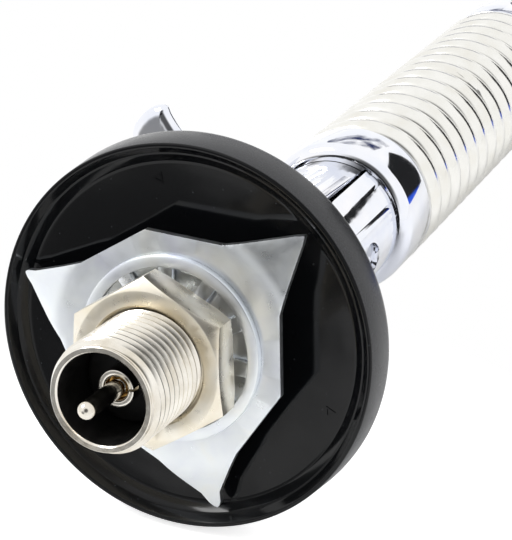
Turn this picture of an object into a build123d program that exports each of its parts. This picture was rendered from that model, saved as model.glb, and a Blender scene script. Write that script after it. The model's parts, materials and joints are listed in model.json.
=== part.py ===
from build123d import *
from math import cos, pi, radians, sin
import os

# Vehicle whip antenna: a threaded base clamped through a body panel, a tilt
# hinge held by a wing bolt, a heavy coil spring and a helically wound whip.
#
# Millimetres. The origin is the centre of the base disc's rim, the plane that
# rests on the panel. +Z runs up the antenna and +X towards the hinge ear.

os.makedirs("parts", exist_ok=True)

# ---------------------------------------------------------------- clearances
thread_clearance = 0.05
slip_clearance = 0.05
bore_clearance = 0.08
face_gap = 0.05
hinge_gap = 0.2

# ----------------------------------------------------------------- base disc
disc_rim_radius = 30.0
disc_wall_draft = 0.5
disc_wall_height = 6.9
disc_edge_round = 1.2
rim_land = 0.6
rim_step_depth = 1.3
rim_step_width = 1.0
rim_step_slope = 0.3
recess_radius = 27.0
recess_depth = 2.5
boss_radius = 15.0
boss_top = 13.0
dome_fullness = 0.68
key_size = 12.0
key_depth = 1.6

# ---------------------------------------------------------- threaded bushing
thread_radius = 8.5
socket_radius = 6.75
socket_mouth = -26.7
mouth_lip_radius = 7.75
mouth_taper = 1.5
insulator_seat = -2.0
bushing_neck_radius = 4.5
bushing_top = 9.0
flange_radius = 12.0
flange_thickness = 1.2
relief_depth = 0.7
relief_width = 0.8
gasket_thickness = 0.5

# ------------------------------------------------------ clamp below the disc
plate_top = -2.2
plate_thickness = 1.2
claw_count = 3
first_claw_angle = 65.0
claw_tip_radius = 27.0
claw_root_radius = 18.5
claw_root_angle = 20.6
plate_corner_radius = 18.1
claw_tip_round = 0.9
claw_bend_radius = 19.5
claw_rise = 2.9
washer_radius = 14.4
washer_thickness = 1.2
washer_ring_width = 1.8
washer_gap = 0.05
tooth_count = 11
first_tooth_angle = -5.0
tooth_twist = 30.0
tooth_width = 2.5
tooth_thickness = 0.9
tooth_root_depth = 0.4
nut_flats = 23.0
nut_thickness = 5.4
nut_front = -12.4
nut_turn = 16.0
nut_face_radius = 11.3
nut_chamfer = 1.0
nut_mouth_radius = 9.15
nut_mouth_depth = 0.6

# ------------------------------------------------------------------ feed path
carrier_front = -17.5
carrier_thickness = 5.5
feed_nut_flats = 7.0
feed_nut_thickness = 3.2
feed_rod_radius = 2.0
feed_rod_top = 27.0
feed_tip_radius = 1.2
feed_tip_length = 4.0
ferrule_radius = 2.75
ferrule_bore = 1.75
ferrule_front = -21.9
ferrule_bore_depth = 1.6
pin_radius = 1.32
pin_tip = -31.9
pin_groove_depth = 0.2
pin_groove_width = 0.6
nut_pocket_clearance = 0.3

# ---------------------------------------------------------------------- hinge
seal_thickness = 0.8
knuckle_radius = 12.2
knuckle_foot_radius = 14.0
knuckle_foot_height = 3.0
pivot_height = 52.6
rest_lean = 4.84
cheek_face = 3.4
cheek_crown = 11.3
cheek_round = 5.0
ear_radius = 11.7
ear_round = 1.5
ear_end_radius = 11.4
friction_disc_radius = 8.0
friction_disc_thickness = 0.3
seat_flat = 11.8
seat_flat_radius = 8.6
bolt_radius = 4.0
bolt_end = 10.4
bolt_end_chamfer = 0.6

# ------------------------------------------------------------------ wing bolt
flat_washer_radius = 8.2
flat_washer_thickness = 1.3
split_washer_radius = 7.0
split_washer_thickness = 1.4
split_width = 0.8
split_angle = 20.0
hub_radius = 6.6
hub_skirt = 3.0
hub_crown_radius = 5.2
hub_crown_round = 1.5
hub_length = 10.0
wing_thickness = 3.2
wing_tip = 21.5
wing_span = 16.9
wing_root = 3.5
wing_root_top = 5.8
wing_root_bottom = 2.0

# --------------------------------------------------------------------- spring
collar_bottom = 12.5
collar_height = 11.7
collar_radius = 14.0
collar_round = 2.0
collar_bevel = 0.6
spring_radius = 14.1
spring_wire_radius = 2.7
spring_pitch = 5.7
spring_turns = 14
spigot_length = 12.0
spigot_clearance = 0.2
braid_radius = 2.2
braid_socket_depth = 5.0

# ----------------------------------------------------------------- upper cup
cup_height = 11.7
cup_cone_height = 8.5
cup_neck_radius = 6.4
cup_bulge = 1.8
ferrule_socket_depth = 14.0
set_screw_radius = 2.0
set_screw_height = 7.0
set_screw_inset = 0.6
hex_socket_radius = 1.15
hex_socket_depth = 2.0

# ----------------------------------------------------------------------- whip
whip_ferrule_radius = 5.2
whip_spigot_radius = 4.0
whip_ferrule_length = 20.0
whip_ferrule_crimp = 4.2
crimp_length = 4.0
crimp_taper = 2.0
rod_radius = 2.0
rod_socket_depth = 12.0
rod_length = 290.0
winding_thickness = 0.45
winding_start = 12.0
winding_length = 230.0
sleeve_thickness = 0.7
sleeve_clearance = 0.05
cap_radius = 4.4
cap_length = 12.0
cap_overlap = 6.0

# -------------------------------------------------------------- worked places
plate_bottom = plate_top - plate_thickness
washer_top = plate_bottom - washer_gap
washer_bottom = washer_top - washer_thickness
nut_back = nut_front + nut_thickness
flange_bottom = recess_depth - gasket_thickness - flange_thickness
stack_bore = thread_radius + thread_clearance
carrier_back = carrier_front + carrier_thickness
rod_lower_end = carrier_back - feed_tip_length
ear_face = cheek_face + friction_disc_thickness + 2 * face_gap
shelf_drop = ear_end_radius + hinge_gap
knuckle_foot = boss_top + seal_thickness
collar_top = collar_bottom + collar_height
spring_top = collar_top + spring_pitch * spring_turns + 2 * spring_wire_radius
spring_coil_radius = spring_radius - spring_wire_radius
spigot_radius = spring_radius - 2 * spring_wire_radius - spigot_clearance
cup_top = spring_top + cup_height + cup_cone_height
ferrule_top = cup_top + whip_ferrule_length
rod_bottom = ferrule_top - rod_socket_depth
rod_top = rod_bottom + rod_length
winding_bottom = ferrule_top + winding_start
winding_radius = rod_radius + winding_thickness
sleeve_bore = winding_radius + sleeve_clearance
sleeve_radius = sleeve_bore + sleeve_thickness
cap_bottom = rod_top - cap_overlap

lean = radians(rest_lean)
upper = Plane(
    origin=(0, 0, pivot_height),
    x_dir=(1, 0, 0),
    z_dir=(0, -sin(lean), cos(lean)),
)
upper_section = Plane(origin=upper.origin, x_dir=upper.x_dir, z_dir=-upper.y_dir)
upper_axis = Axis(upper.origin, upper.z_dir)
pivot_plane = Plane(origin=(0, 0, pivot_height), x_dir=(0, 1, 0), z_dir=(1, 0, 0))
pivot_axis = Axis((0, 0, pivot_height), (1, 0, 0))
pivot_section = Plane(origin=(0, 0, pivot_height), x_dir=(1, 0, 0), z_dir=(0, 0, 1))
ear_plane = Plane(origin=upper.origin, x_dir=upper.y_dir, z_dir=(1, 0, 0))
eighth_turn = pi / 4


def quarter_round(corner_radius, corner_height, rounding):
    """The three points of a rounded lower outer corner of a turned section."""
    return (
        (corner_radius - rounding, corner_height),
        (
            corner_radius - rounding * (1 - sin(eighth_turn)),
            corner_height + rounding * (1 - cos(eighth_turn)),
        ),
        (corner_radius, corner_height + rounding),
    )


def keep(name, part):
    """Label a finished piece and write it as its own STEP file."""
    part.label = name
    export_step(part, f"parts/{name}.step")


# ================================================================ base disc
# A moulded disc: draughted outer wall, stepped rim, shallow recess below and
# a low dome above that rises to the boss under the knuckle.
disc_wall_radius = disc_rim_radius + disc_wall_draft
rim_inner = disc_rim_radius - rim_land
rim_step_radius = rim_inner - rim_step_width

with BuildPart() as base_disc:
    with BuildSketch(Plane.XZ) as disc_section:
        with BuildLine():
            Polyline(
                (stack_bore, recess_depth),
                (recess_radius, recess_depth),
                (rim_step_radius - rim_step_slope, rim_step_depth),
                (rim_step_radius, rim_step_depth),
                (rim_inner, 0),
                (disc_rim_radius, 0),
                (disc_wall_radius, disc_wall_height),
            )
            ThreePointArc(
                (disc_wall_radius, disc_wall_height),
                (
                    (disc_wall_radius + boss_radius) / 2,
                    disc_wall_height + (boss_top - disc_wall_height) * dome_fullness,
                ),
                (boss_radius, boss_top),
            )
            Polyline(
                (boss_radius, boss_top),
                (feed_rod_radius + slip_clearance, boss_top),
                (feed_rod_radius + slip_clearance, bushing_top + face_gap),
                (stack_bore, bushing_top + face_gap),
                (stack_bore, recess_depth),
            )
        make_face()
        fillet(disc_section.vertices().sort_by(Axis.X)[-1], disc_edge_round)
    revolve(axis=Axis.Z)
    with BuildSketch(Plane.XY.offset(boss_top)):
        Rectangle(key_size + 2 * slip_clearance, key_size + 2 * slip_clearance)
    extrude(amount=-key_depth - face_gap, mode=Mode.SUBTRACT)
keep("base_disc", base_disc.part)

# ========================================================= threaded bushing
# Nickel-plated tube. Its flange bears on the disc from below and its bore is
# the feed socket; a shoulder inside takes the insulator.
with BuildPart() as threaded_bushing:
    with BuildSketch(Plane.XZ):
        with BuildLine():
            Polyline(
                (socket_radius, socket_mouth),
                (mouth_lip_radius, socket_mouth),
                (thread_radius, socket_mouth + mouth_taper),
                (thread_radius, nut_front),
                (thread_radius - relief_depth, nut_front),
                (thread_radius - relief_depth, nut_front + relief_width),
                (thread_radius, nut_front + relief_width),
                (thread_radius, flange_bottom),
                (flange_radius, flange_bottom),
                (flange_radius, flange_bottom + flange_thickness),
                (thread_radius, flange_bottom + flange_thickness),
                (thread_radius, bushing_top),
                (bushing_neck_radius, bushing_top),
                (bushing_neck_radius, insulator_seat),
                (socket_radius, insulator_seat),
                (socket_radius, socket_mouth),
            )
        make_face()
    revolve(axis=Axis.Z)
keep("threaded_bushing", threaded_bushing.part)

with BuildPart() as flange_gasket:
    with BuildSketch(Plane.XY.offset(recess_depth)):
        Circle(flange_radius)
        Circle(stack_bore, mode=Mode.SUBTRACT)
    extrude(amount=-gasket_thickness)
keep("flange_gasket", flange_gasket.part)

# =============================================================== claw plate
# A three-clawed clamp plate: the star outline cut from a dished section, so
# that each pointed claw bends up towards the panel.
def polar(radius, angle):
    """A point of a flat outline from its radius and its angle in degrees."""
    return (radius * cos(radians(angle)), radius * sin(radians(angle)))


claw_spacing = 360 / claw_count
star_points = []
for index in range(claw_count):
    claw_angle = first_claw_angle + claw_spacing * index
    star_points += [
        polar(claw_root_radius, claw_angle - claw_root_angle),
        polar(claw_tip_radius, claw_angle),
        polar(claw_root_radius, claw_angle + claw_root_angle),
        polar(plate_corner_radius, claw_angle + claw_spacing / 2),
    ]

with BuildPart() as claw_plate:
    with BuildSketch(Plane.XZ):
        with BuildLine():
            Polyline(
                (claw_tip_radius, plate_top + claw_rise),
                (claw_bend_radius, plate_top),
                (stack_bore, plate_top),
                (stack_bore, plate_bottom),
                (claw_bend_radius, plate_bottom),
                (claw_tip_radius, plate_bottom + claw_rise),
                close=True,
            )
        make_face()
    revolve(axis=Axis.Z)
    with BuildSketch(Plane.XY.offset(plate_bottom)) as claw_outline:
        Polygon(*star_points, align=None)
        corners_outwards = claw_outline.vertices().sort_by_distance((0, 0, plate_bottom))
        fillet(corners_outwards[-claw_count:], claw_tip_round)
    extrude(amount=plate_thickness + claw_rise, mode=Mode.INTERSECT)
keep("claw_plate", claw_plate.part)

# ======================================================== tooth lock washer
# A thin ring whose inner teeth are twisted out of its plane towards the nut.
tooth_root_radius = washer_radius - washer_ring_width
tooth_length = tooth_root_radius - stack_bore - thread_clearance

with BuildPart() as tooth_lock_washer:
    with BuildSketch(Plane.XY.offset(washer_top)):
        Circle(washer_radius)
        Circle(tooth_root_radius, mode=Mode.SUBTRACT)
    extrude(amount=-washer_thickness)
    for index in range(tooth_count):
        tooth_angle = first_tooth_angle + 360 / tooth_count * index
        tooth_direction = Vector(1, 0, 0).rotate(Axis.Z, tooth_angle)
        tooth_plane = Plane(
            origin=tooth_direction * (stack_bore + thread_clearance) + Vector(0, 0, washer_bottom),
            x_dir=Vector(0, 0, 1).rotate(Axis((0, 0, 0), tooth_direction), tooth_twist),
            z_dir=tooth_direction,
        )
        with BuildSketch(tooth_plane):
            Rectangle(tooth_thickness, tooth_width)
        extrude(amount=tooth_length + tooth_root_depth)
keep("tooth_lock_washer", tooth_lock_washer.part)

# ============================================================= mounting nut
nut_corner_radius = nut_flats / 3**0.5

with BuildPart() as mounting_nut:
    with BuildSketch(Plane.XY.offset(nut_front)):
        RegularPolygon(nut_corner_radius, 6, rotation=nut_turn)
    extrude(amount=nut_thickness)
    with BuildSketch(Plane.XZ):
        with BuildLine():
            Polyline(
                (0, nut_front),
                (nut_face_radius, nut_front),
                (nut_corner_radius, nut_front + nut_chamfer),
                (nut_corner_radius, nut_back - nut_chamfer / 2),
                ((nut_face_radius + nut_corner_radius) / 2, nut_back),
                (0, nut_back),
                close=True,
            )
        make_face()
    revolve(axis=Axis.Z, mode=Mode.INTERSECT)
    with BuildSketch(Plane.XZ):
        with BuildLine():
            Polyline(
                (0, nut_front),
                (nut_mouth_radius, nut_front),
                (stack_bore, nut_front + nut_mouth_depth),
                (stack_bore, nut_back),
                (0, nut_back),
                close=True,
            )
        make_face()
    revolve(axis=Axis.Z, mode=Mode.SUBTRACT)
keep("mounting_nut", mounting_nut.part)

# ================================================================ feed path
# Inside the bushing: an insulator on the shoulder, held by a nut on the feed
# rod, and below it a carrier with the ferrule and the centre pin.
feed_bore = feed_rod_radius + slip_clearance
insulator_radius = socket_radius - slip_clearance
feed_nut_corner = feed_nut_flats / 3**0.5
nut_pocket_radius = feed_nut_corner + nut_pocket_clearance

with BuildPart() as neck_insulator:
    with BuildSketch(Plane.XY.offset(carrier_back + face_gap)):
        Circle(insulator_radius)
    extrude(amount=insulator_seat - carrier_back - 2 * face_gap)
    with BuildSketch(Plane.XY.offset(insulator_seat - face_gap)):
        Circle(bushing_neck_radius - slip_clearance)
    extrude(amount=bushing_top - insulator_seat + face_gap)
    with BuildSketch(Plane.XY.offset(carrier_back)):
        Circle(nut_pocket_radius)
    extrude(amount=feed_nut_thickness + 2 * face_gap, mode=Mode.SUBTRACT)
    with BuildSketch(Plane.XY.offset(carrier_back)):
        Circle(feed_bore)
    extrude(amount=bushing_top - carrier_back, mode=Mode.SUBTRACT)
keep("neck_insulator", neck_insulator.part)

with BuildPart() as contact_carrier:
    with BuildSketch(Plane.XY.offset(carrier_front)):
        Circle(insulator_radius)
        Circle(ferrule_radius + slip_clearance, mode=Mode.SUBTRACT)
    extrude(amount=carrier_thickness)
keep("contact_carrier", contact_carrier.part)

with BuildPart() as contact_ferrule:
    with BuildSketch(Plane.XY.offset(ferrule_front)):
        Circle(ferrule_radius)
    extrude(amount=carrier_back - face_gap - ferrule_front)
    with BuildSketch(Plane.XY.offset(ferrule_front)):
        Circle(ferrule_bore)
    extrude(amount=ferrule_bore_depth, mode=Mode.SUBTRACT)
    with BuildSketch(Plane.XY.offset(ferrule_front)):
        Circle(pin_radius + thread_clearance)
    extrude(amount=carrier_back - ferrule_front, mode=Mode.SUBTRACT)
keep("contact_ferrule", contact_ferrule.part)

pin_waist = pin_radius - pin_groove_depth

with BuildPart() as centre_pin:
    with BuildSketch(Plane.XZ):
        with BuildLine():
            ThreePointArc(*quarter_round(pin_radius, pin_tip, pin_radius))
            Polyline(
                (pin_radius, pin_tip + pin_radius),
                (pin_radius, ferrule_front),
                (pin_waist, ferrule_front),
                (pin_waist, ferrule_front + pin_groove_width),
                (pin_radius, ferrule_front + pin_groove_width),
                (pin_radius, rod_lower_end - face_gap),
                (0, rod_lower_end - face_gap),
                (0, pin_tip),
            )
        make_face()
    revolve(axis=Axis.Z)
keep("centre_pin", centre_pin.part)

with BuildPart() as feed_nut:
    with BuildSketch(Plane.XY.offset(carrier_back + face_gap)):
        RegularPolygon(feed_nut_corner, 6)
        Circle(feed_bore, mode=Mode.SUBTRACT)
    extrude(amount=feed_nut_thickness)
keep("feed_nut", feed_nut.part)

with BuildPart() as feed_rod:
    with BuildSketch(Plane.XY.offset(rod_lower_end)):
        Circle(feed_tip_radius)
    extrude(amount=feed_tip_length)
    with BuildSketch(Plane.XY.offset(carrier_back)):
        Circle(feed_rod_radius)
    extrude(amount=feed_rod_top - carrier_back)
keep("feed_rod", feed_rod.part)

with BuildPart() as knuckle_seal:
    with BuildSketch(Plane.XY.offset(boss_top)):
        Circle(knuckle_foot_radius)
        Rectangle(key_size + 2 * slip_clearance, key_size + 2 * slip_clearance, mode=Mode.SUBTRACT)
    extrude(amount=seal_thickness)
keep("knuckle_seal", knuckle_seal.part)

# ============================================================ lower knuckle
# A round column with a square key below. Above the shelf only the cheek on
# the -X side stands: flat-topped on the -Y side, where the collar rests
# against it, and rounded about the pivot on the +Y side, where it folds.
shelf_height = pivot_height - shelf_drop
cheek_top = pivot_height + cheek_crown
cheek_bore = bolt_radius + bore_clearance

with BuildSketch(Plane.XY.offset(shelf_height)) as cheek_plan:
    Circle(knuckle_radius)
    with Locations((cheek_face, 0)):
        Rectangle(
            2 * knuckle_radius,
            3 * knuckle_radius,
            align=(Align.MIN, Align.CENTER),
            mode=Mode.SUBTRACT,
        )
    fillet(cheek_plan.vertices(), cheek_round)

with BuildPart() as lower_knuckle:
    with BuildSketch(Plane.XY.offset(boss_top - key_depth)):
        Rectangle(key_size, key_size)
    extrude(amount=key_depth + seal_thickness)
    with BuildSketch(Plane.XZ):
        with BuildLine():
            Polyline(
                (0, knuckle_foot),
                (knuckle_foot_radius, knuckle_foot),
                (knuckle_foot_radius, knuckle_foot + knuckle_foot_height),
                (knuckle_radius, knuckle_foot + 2 * knuckle_foot_height),
                (knuckle_radius, cheek_top),
                (0, cheek_top),
                close=True,
            )
        make_face()
    revolve(axis=Axis.Z)
    with BuildSketch(Plane.XY.offset(shelf_height)):
        Circle(2 * knuckle_radius)
        add(cheek_plan.sketch, mode=Mode.SUBTRACT)
    extrude(amount=3 * knuckle_radius, mode=Mode.SUBTRACT)
    with BuildSketch(pivot_plane):
        with Locations((0, 0)):
            Rectangle(2 * knuckle_radius, 2 * knuckle_radius, align=(Align.MIN, Align.MIN))
        Circle(cheek_crown, mode=Mode.SUBTRACT)
    extrude(amount=2 * knuckle_radius, both=True, mode=Mode.SUBTRACT)
    with BuildSketch(pivot_plane.offset(-seat_flat)):
        Circle(seat_flat_radius)
    extrude(amount=-knuckle_radius, mode=Mode.SUBTRACT)
    with BuildSketch(pivot_plane):
        Circle(cheek_bore)
    extrude(amount=2 * knuckle_radius, both=True, mode=Mode.SUBTRACT)
    with BuildSketch(Plane.XY.offset(boss_top - key_depth)):
        Circle(feed_rod_radius + thread_clearance)
    extrude(amount=feed_rod_top + face_gap - boss_top + key_depth, mode=Mode.SUBTRACT)
keep("lower_knuckle", lower_knuckle.part)

with BuildPart() as friction_disc:
    with BuildSketch(pivot_plane.offset(cheek_face + face_gap)):
        Circle(friction_disc_radius)
        Circle(cheek_bore, mode=Mode.SUBTRACT)
    extrude(amount=friction_disc_thickness)
keep("friction_disc", friction_disc.part)

# ============================================================ upper knuckle
# One casting: the ear beside the cheek, the bevelled collar and the spigot
# that the spring is screwed onto.
braid_bore = braid_radius + slip_clearance

with BuildPart() as upper_knuckle:
    with BuildSketch(upper.offset(-ear_end_radius)) as ear_plan:
        Circle(ear_radius)
        with Locations((ear_face, 0)):
            Rectangle(
                2 * ear_radius,
                3 * ear_radius,
                align=(Align.MAX, Align.CENTER),
                mode=Mode.SUBTRACT,
            )
        fillet(ear_plan.vertices(), ear_round)
    extrude(amount=ear_end_radius + collar_bottom)
    with BuildSketch(ear_plane):
        Circle(ear_end_radius)
        Rectangle(2 * ear_radius, collar_bottom, align=(Align.CENTER, Align.MIN))
    extrude(amount=2 * ear_radius, both=True, mode=Mode.INTERSECT)
    with BuildSketch(upper_section):
        with BuildLine():
            Line((0, collar_bottom), (collar_radius - collar_round, collar_bottom))
            ThreePointArc(*quarter_round(collar_radius, collar_bottom, collar_round))
            Polyline(
                (collar_radius, collar_bottom + collar_round),
                (collar_radius, collar_top - collar_bevel),
                (collar_radius - collar_bevel, collar_top),
                (spigot_radius, collar_top),
                (spigot_radius, collar_top + spigot_length),
                (braid_bore, collar_top + spigot_length),
                (braid_bore, collar_top + spigot_length - braid_socket_depth),
                (0, collar_top + spigot_length - braid_socket_depth),
                (0, collar_bottom),
            )
        make_face()
    revolve(axis=upper_axis)
    with BuildSketch(pivot_plane):
        Circle(bolt_radius + thread_clearance)
    extrude(amount=2 * ear_radius, mode=Mode.SUBTRACT)
keep("upper_knuckle", upper_knuckle.part)

# ================================================================ wing bolt
# Flat washer and split washer under the hub, then hub, shank and two wings.
flat_washer_inner = -seat_flat - face_gap
split_washer_inner = flat_washer_inner - flat_washer_thickness
hub_face = split_washer_inner - split_washer_thickness
washer_bore = bolt_radius + 2 * bore_clearance

with BuildPart() as flat_washer:
    with BuildSketch(pivot_plane.offset(flat_washer_inner)):
        Circle(flat_washer_radius)
        Circle(washer_bore, mode=Mode.SUBTRACT)
    extrude(amount=-flat_washer_thickness)
keep("flat_washer", flat_washer.part)

with BuildPart() as split_washer:
    with BuildSketch(pivot_plane.offset(split_washer_inner)):
        Circle(split_washer_radius)
        Circle(washer_bore, mode=Mode.SUBTRACT)
        with Locations((split_washer_radius, 0)):
            Rectangle(split_washer_radius, split_width, rotation=split_angle, mode=Mode.SUBTRACT)
    extrude(amount=-split_washer_thickness)
keep("split_washer", split_washer.part)

hub_end = hub_face - hub_length
crown_start = hub_end + hub_crown_round

with BuildPart() as wing_bolt:
    with BuildSketch(pivot_section):
        with BuildLine():
            Polyline(
                (bolt_end, 0),
                (bolt_end, bolt_radius - bolt_end_chamfer),
                (bolt_end - bolt_end_chamfer, bolt_radius),
                (hub_face, bolt_radius),
                (hub_face, hub_radius),
                (hub_face - hub_skirt, hub_radius),
                (crown_start, hub_crown_radius),
            )
            ThreePointArc(
                (crown_start, hub_crown_radius),
                (
                    crown_start - hub_crown_round * sin(eighth_turn),
                    hub_crown_radius - hub_crown_round * (1 - cos(eighth_turn)),
                ),
                (hub_end, hub_crown_radius - hub_crown_round),
            )
            Polyline(
                (hub_end, hub_crown_radius - hub_crown_round),
                (hub_end, 0),
                (bolt_end, 0),
            )
        make_face()
    revolve(axis=pivot_axis)
    with BuildSketch(pivot_section):
        for side in (1, -1):
            lobe_start = (hub_face - 0.735 * wing_tip, side * wing_span)
            lobe_middle = (hub_face - 0.94 * wing_tip, side * 0.83 * wing_span)
            lobe_end = (hub_face - wing_tip, side * wing_span / 2)
            with BuildLine():
                Polyline(
                    (hub_face - wing_root, side * wing_root_bottom),
                    (hub_face - wing_root, side * wing_root_top),
                    (hub_face - 0.61 * wing_tip, side * 0.77 * wing_span),
                    lobe_start,
                )
                ThreePointArc(lobe_start, lobe_middle, lobe_end)
                Polyline(
                    lobe_end,
                    (hub_face - 0.8 * wing_tip, side * wing_span / 4),
                    (hub_end, side * wing_root_bottom),
                    (hub_face - wing_root, side * wing_root_bottom),
                )
            make_face()
    extrude(amount=wing_thickness / 2, both=True)
keep("wing_bolt", wing_bolt.part)

# =================================================================== spring
# Round wire wound nearly solid, with its ends ground flat.
with BuildPart() as spring:
    with BuildLine() as coil:
        Helix(
            spring_pitch,
            spring_pitch * (spring_turns + 2),
            spring_coil_radius,
            center=upper.offset(collar_top - spring_pitch / 2).origin,
            direction=upper.z_dir,
        )
    with BuildSketch(Plane(origin=coil.line @ 0, z_dir=coil.line % 0)):
        Circle(spring_wire_radius)
    sweep(is_frenet=True)
    split(bisect_by=upper.offset(collar_top + face_gap), keep=Keep.TOP)
    split(bisect_by=upper.offset(spring_top - face_gap), keep=Keep.BOTTOM)
keep("spring", spring.part)

with BuildPart() as ground_braid:
    with BuildSketch(upper.offset(collar_top + spigot_length - braid_socket_depth + face_gap)):
        Circle(braid_radius)
    extrude(amount=spring_top - collar_top - 2 * (spigot_length - braid_socket_depth + face_gap))
keep("ground_braid", ground_braid.part)

# ================================================================ upper cup
screw_height = spring_top + cup_height - set_screw_height / 2
screw_face = collar_radius - set_screw_inset
screw_length = screw_face - whip_spigot_radius - face_gap

with BuildPart() as upper_cup:
    with BuildSketch(upper_section):
        with BuildLine():
            Polyline(
                (0, spring_top - spigot_length + braid_socket_depth),
                (braid_bore, spring_top - spigot_length + braid_socket_depth),
                (braid_bore, spring_top - spigot_length),
                (spigot_radius, spring_top - spigot_length),
                (spigot_radius, spring_top),
                (collar_radius - collar_bevel, spring_top),
                (collar_radius, spring_top + collar_bevel),
                (collar_radius, spring_top + cup_height),
            )
            ThreePointArc(
                (collar_radius, spring_top + cup_height),
                (
                    (collar_radius + cup_neck_radius + cup_bulge) / 2,
                    spring_top + cup_height + (cup_cone_height + cup_bulge) / 2,
                ),
                (cup_neck_radius, cup_top),
            )
            Polyline(
                (cup_neck_radius, cup_top),
                (whip_spigot_radius + slip_clearance, cup_top),
                (whip_spigot_radius + slip_clearance, cup_top - ferrule_socket_depth),
                (0, cup_top - ferrule_socket_depth),
                (0, spring_top - spigot_length + braid_socket_depth),
            )
        make_face()
    revolve(axis=upper_axis)
    for side in (1, -1):
        with BuildSketch(upper_section.offset(side * collar_radius)):
            with Locations((0, screw_height)):
                Circle(set_screw_radius + thread_clearance)
        extrude(amount=-side * collar_radius, mode=Mode.SUBTRACT)
keep("upper_cup", upper_cup.part)

with BuildPart() as set_screws:
    for side in (1, -1):
        with BuildSketch(upper_section.offset(side * screw_face)):
            with Locations((0, screw_height)):
                Circle(set_screw_radius)
        extrude(amount=-side * screw_length)
        with BuildSketch(upper_section.offset(side * screw_face)):
            with Locations((0, screw_height)):
                RegularPolygon(hex_socket_radius, 6)
        extrude(amount=-side * hex_socket_depth, mode=Mode.SUBTRACT)
keep("set_screws", set_screws.part)

# ===================================================================== whip
with BuildPart() as whip_ferrule:
    with BuildSketch(upper_section):
        with BuildLine():
            Polyline(
                (0, cup_top - ferrule_socket_depth + face_gap),
                (whip_spigot_radius, cup_top - ferrule_socket_depth + face_gap),
                (whip_spigot_radius, cup_top + face_gap),
                (whip_ferrule_radius, cup_top + face_gap),
                (whip_ferrule_radius, ferrule_top - crimp_length - crimp_taper),
                (whip_ferrule_crimp, ferrule_top - crimp_length),
                (whip_ferrule_crimp, ferrule_top),
                (rod_radius + slip_clearance, ferrule_top),
                (rod_radius + slip_clearance, rod_bottom - face_gap),
                (0, rod_bottom - face_gap),
                close=True,
            )
        make_face()
    revolve(axis=upper_axis)
keep("whip_ferrule", whip_ferrule.part)

with BuildPart() as fibreglass_rod:
    with BuildSketch(upper.offset(rod_bottom)):
        Circle(rod_radius)
    extrude(amount=rod_length)
keep("fibreglass_rod", fibreglass_rod.part)

with BuildPart() as wire_winding:
    with BuildSketch(upper.offset(winding_bottom)):
        Circle(winding_radius)
        Circle(rod_radius + slip_clearance, mode=Mode.SUBTRACT)
    extrude(amount=winding_length)
keep("wire_winding", wire_winding.part)

with BuildPart() as whip_sleeve:
    with BuildSketch(upper.offset(ferrule_top + face_gap)):
        Circle(sleeve_radius)
        Circle(sleeve_bore, mode=Mode.SUBTRACT)
    extrude(amount=rod_top - ferrule_top - 2 * face_gap)
keep("whip_sleeve", whip_sleeve.part)

with BuildPart() as tip_cap:
    with BuildSketch(upper_section):
        with BuildLine():
            Polyline(
                (0, rod_top + face_gap),
                (sleeve_radius + slip_clearance, rod_top + face_gap),
                (sleeve_radius + slip_clearance, cap_bottom),
                (cap_radius, cap_bottom),
                (cap_radius, cap_bottom + cap_length - cap_radius),
            )
            ThreePointArc(
                (cap_radius, cap_bottom + cap_length - cap_radius),
                (
                    cap_radius * sin(eighth_turn),
                    cap_bottom + cap_length - cap_radius * (1 - cos(eighth_turn)),
                ),
                (0, cap_bottom + cap_length),
            )
            Line((0, cap_bottom + cap_length), (0, rod_top + face_gap))
        make_face()
    revolve(axis=upper_axis)
keep("tip_cap", tip_cap.part)
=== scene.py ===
# %% [markdown]
# # A vehicle whip antenna
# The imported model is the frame. Every piece below is dressed on it or made to
# stand for one of its nodes, in metres and in the same place.

# %% Load the frame
import json
from math import cos, pi, radians, sin, sqrt

import bmesh
import bpy
from mathutils import Matrix, Vector


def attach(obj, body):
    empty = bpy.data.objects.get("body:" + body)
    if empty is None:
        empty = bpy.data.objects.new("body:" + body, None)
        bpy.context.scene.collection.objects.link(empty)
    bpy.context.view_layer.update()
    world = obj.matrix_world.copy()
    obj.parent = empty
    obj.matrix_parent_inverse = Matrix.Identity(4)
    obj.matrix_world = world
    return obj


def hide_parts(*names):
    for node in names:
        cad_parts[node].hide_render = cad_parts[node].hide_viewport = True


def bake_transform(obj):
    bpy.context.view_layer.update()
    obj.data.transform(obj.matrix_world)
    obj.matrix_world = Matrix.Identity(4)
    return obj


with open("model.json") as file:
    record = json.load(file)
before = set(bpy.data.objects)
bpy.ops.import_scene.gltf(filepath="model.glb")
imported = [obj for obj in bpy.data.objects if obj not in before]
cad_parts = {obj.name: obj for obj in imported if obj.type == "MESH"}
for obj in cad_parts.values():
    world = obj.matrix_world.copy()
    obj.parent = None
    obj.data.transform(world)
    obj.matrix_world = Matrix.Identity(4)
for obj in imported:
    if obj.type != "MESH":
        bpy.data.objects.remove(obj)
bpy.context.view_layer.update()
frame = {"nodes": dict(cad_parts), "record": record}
bpy.ops.object.select_all(action="DESELECT")
scene = bpy.context.scene

# %% [markdown]
# Sizes are written in millimetres, as a machinist would, and turned to metres
# in one place. The antenna stands on the Z axis up to the hinge; above it
# everything leans a little about the pivot.

# %% Units and the two working axes
MM = 0.001
LOWER = Matrix.Identity(4)


def mm(*values):
    """A point or size in millimetres as a vector in metres."""
    return Vector(values) * MM


def joint(name):
    """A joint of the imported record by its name."""
    return next(entry for entry in frame["record"]["behaviour"]["joints"] if entry["name"] == name)


pivot = Vector(joint("tilt")["pos_m"])
pivot_height = pivot.z / MM
whip_point = Vector(joint("whip_bend")["pos_m"])
upper_direction = (whip_point - pivot).normalized()
lean = Vector((0, 0, 1)).angle(upper_direction)
UPPER = Matrix.Translation(pivot) @ Matrix.Rotation(lean, 4, "X")
print("pivot", pivot, "lean in degrees", lean * 180 / pi)

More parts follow.
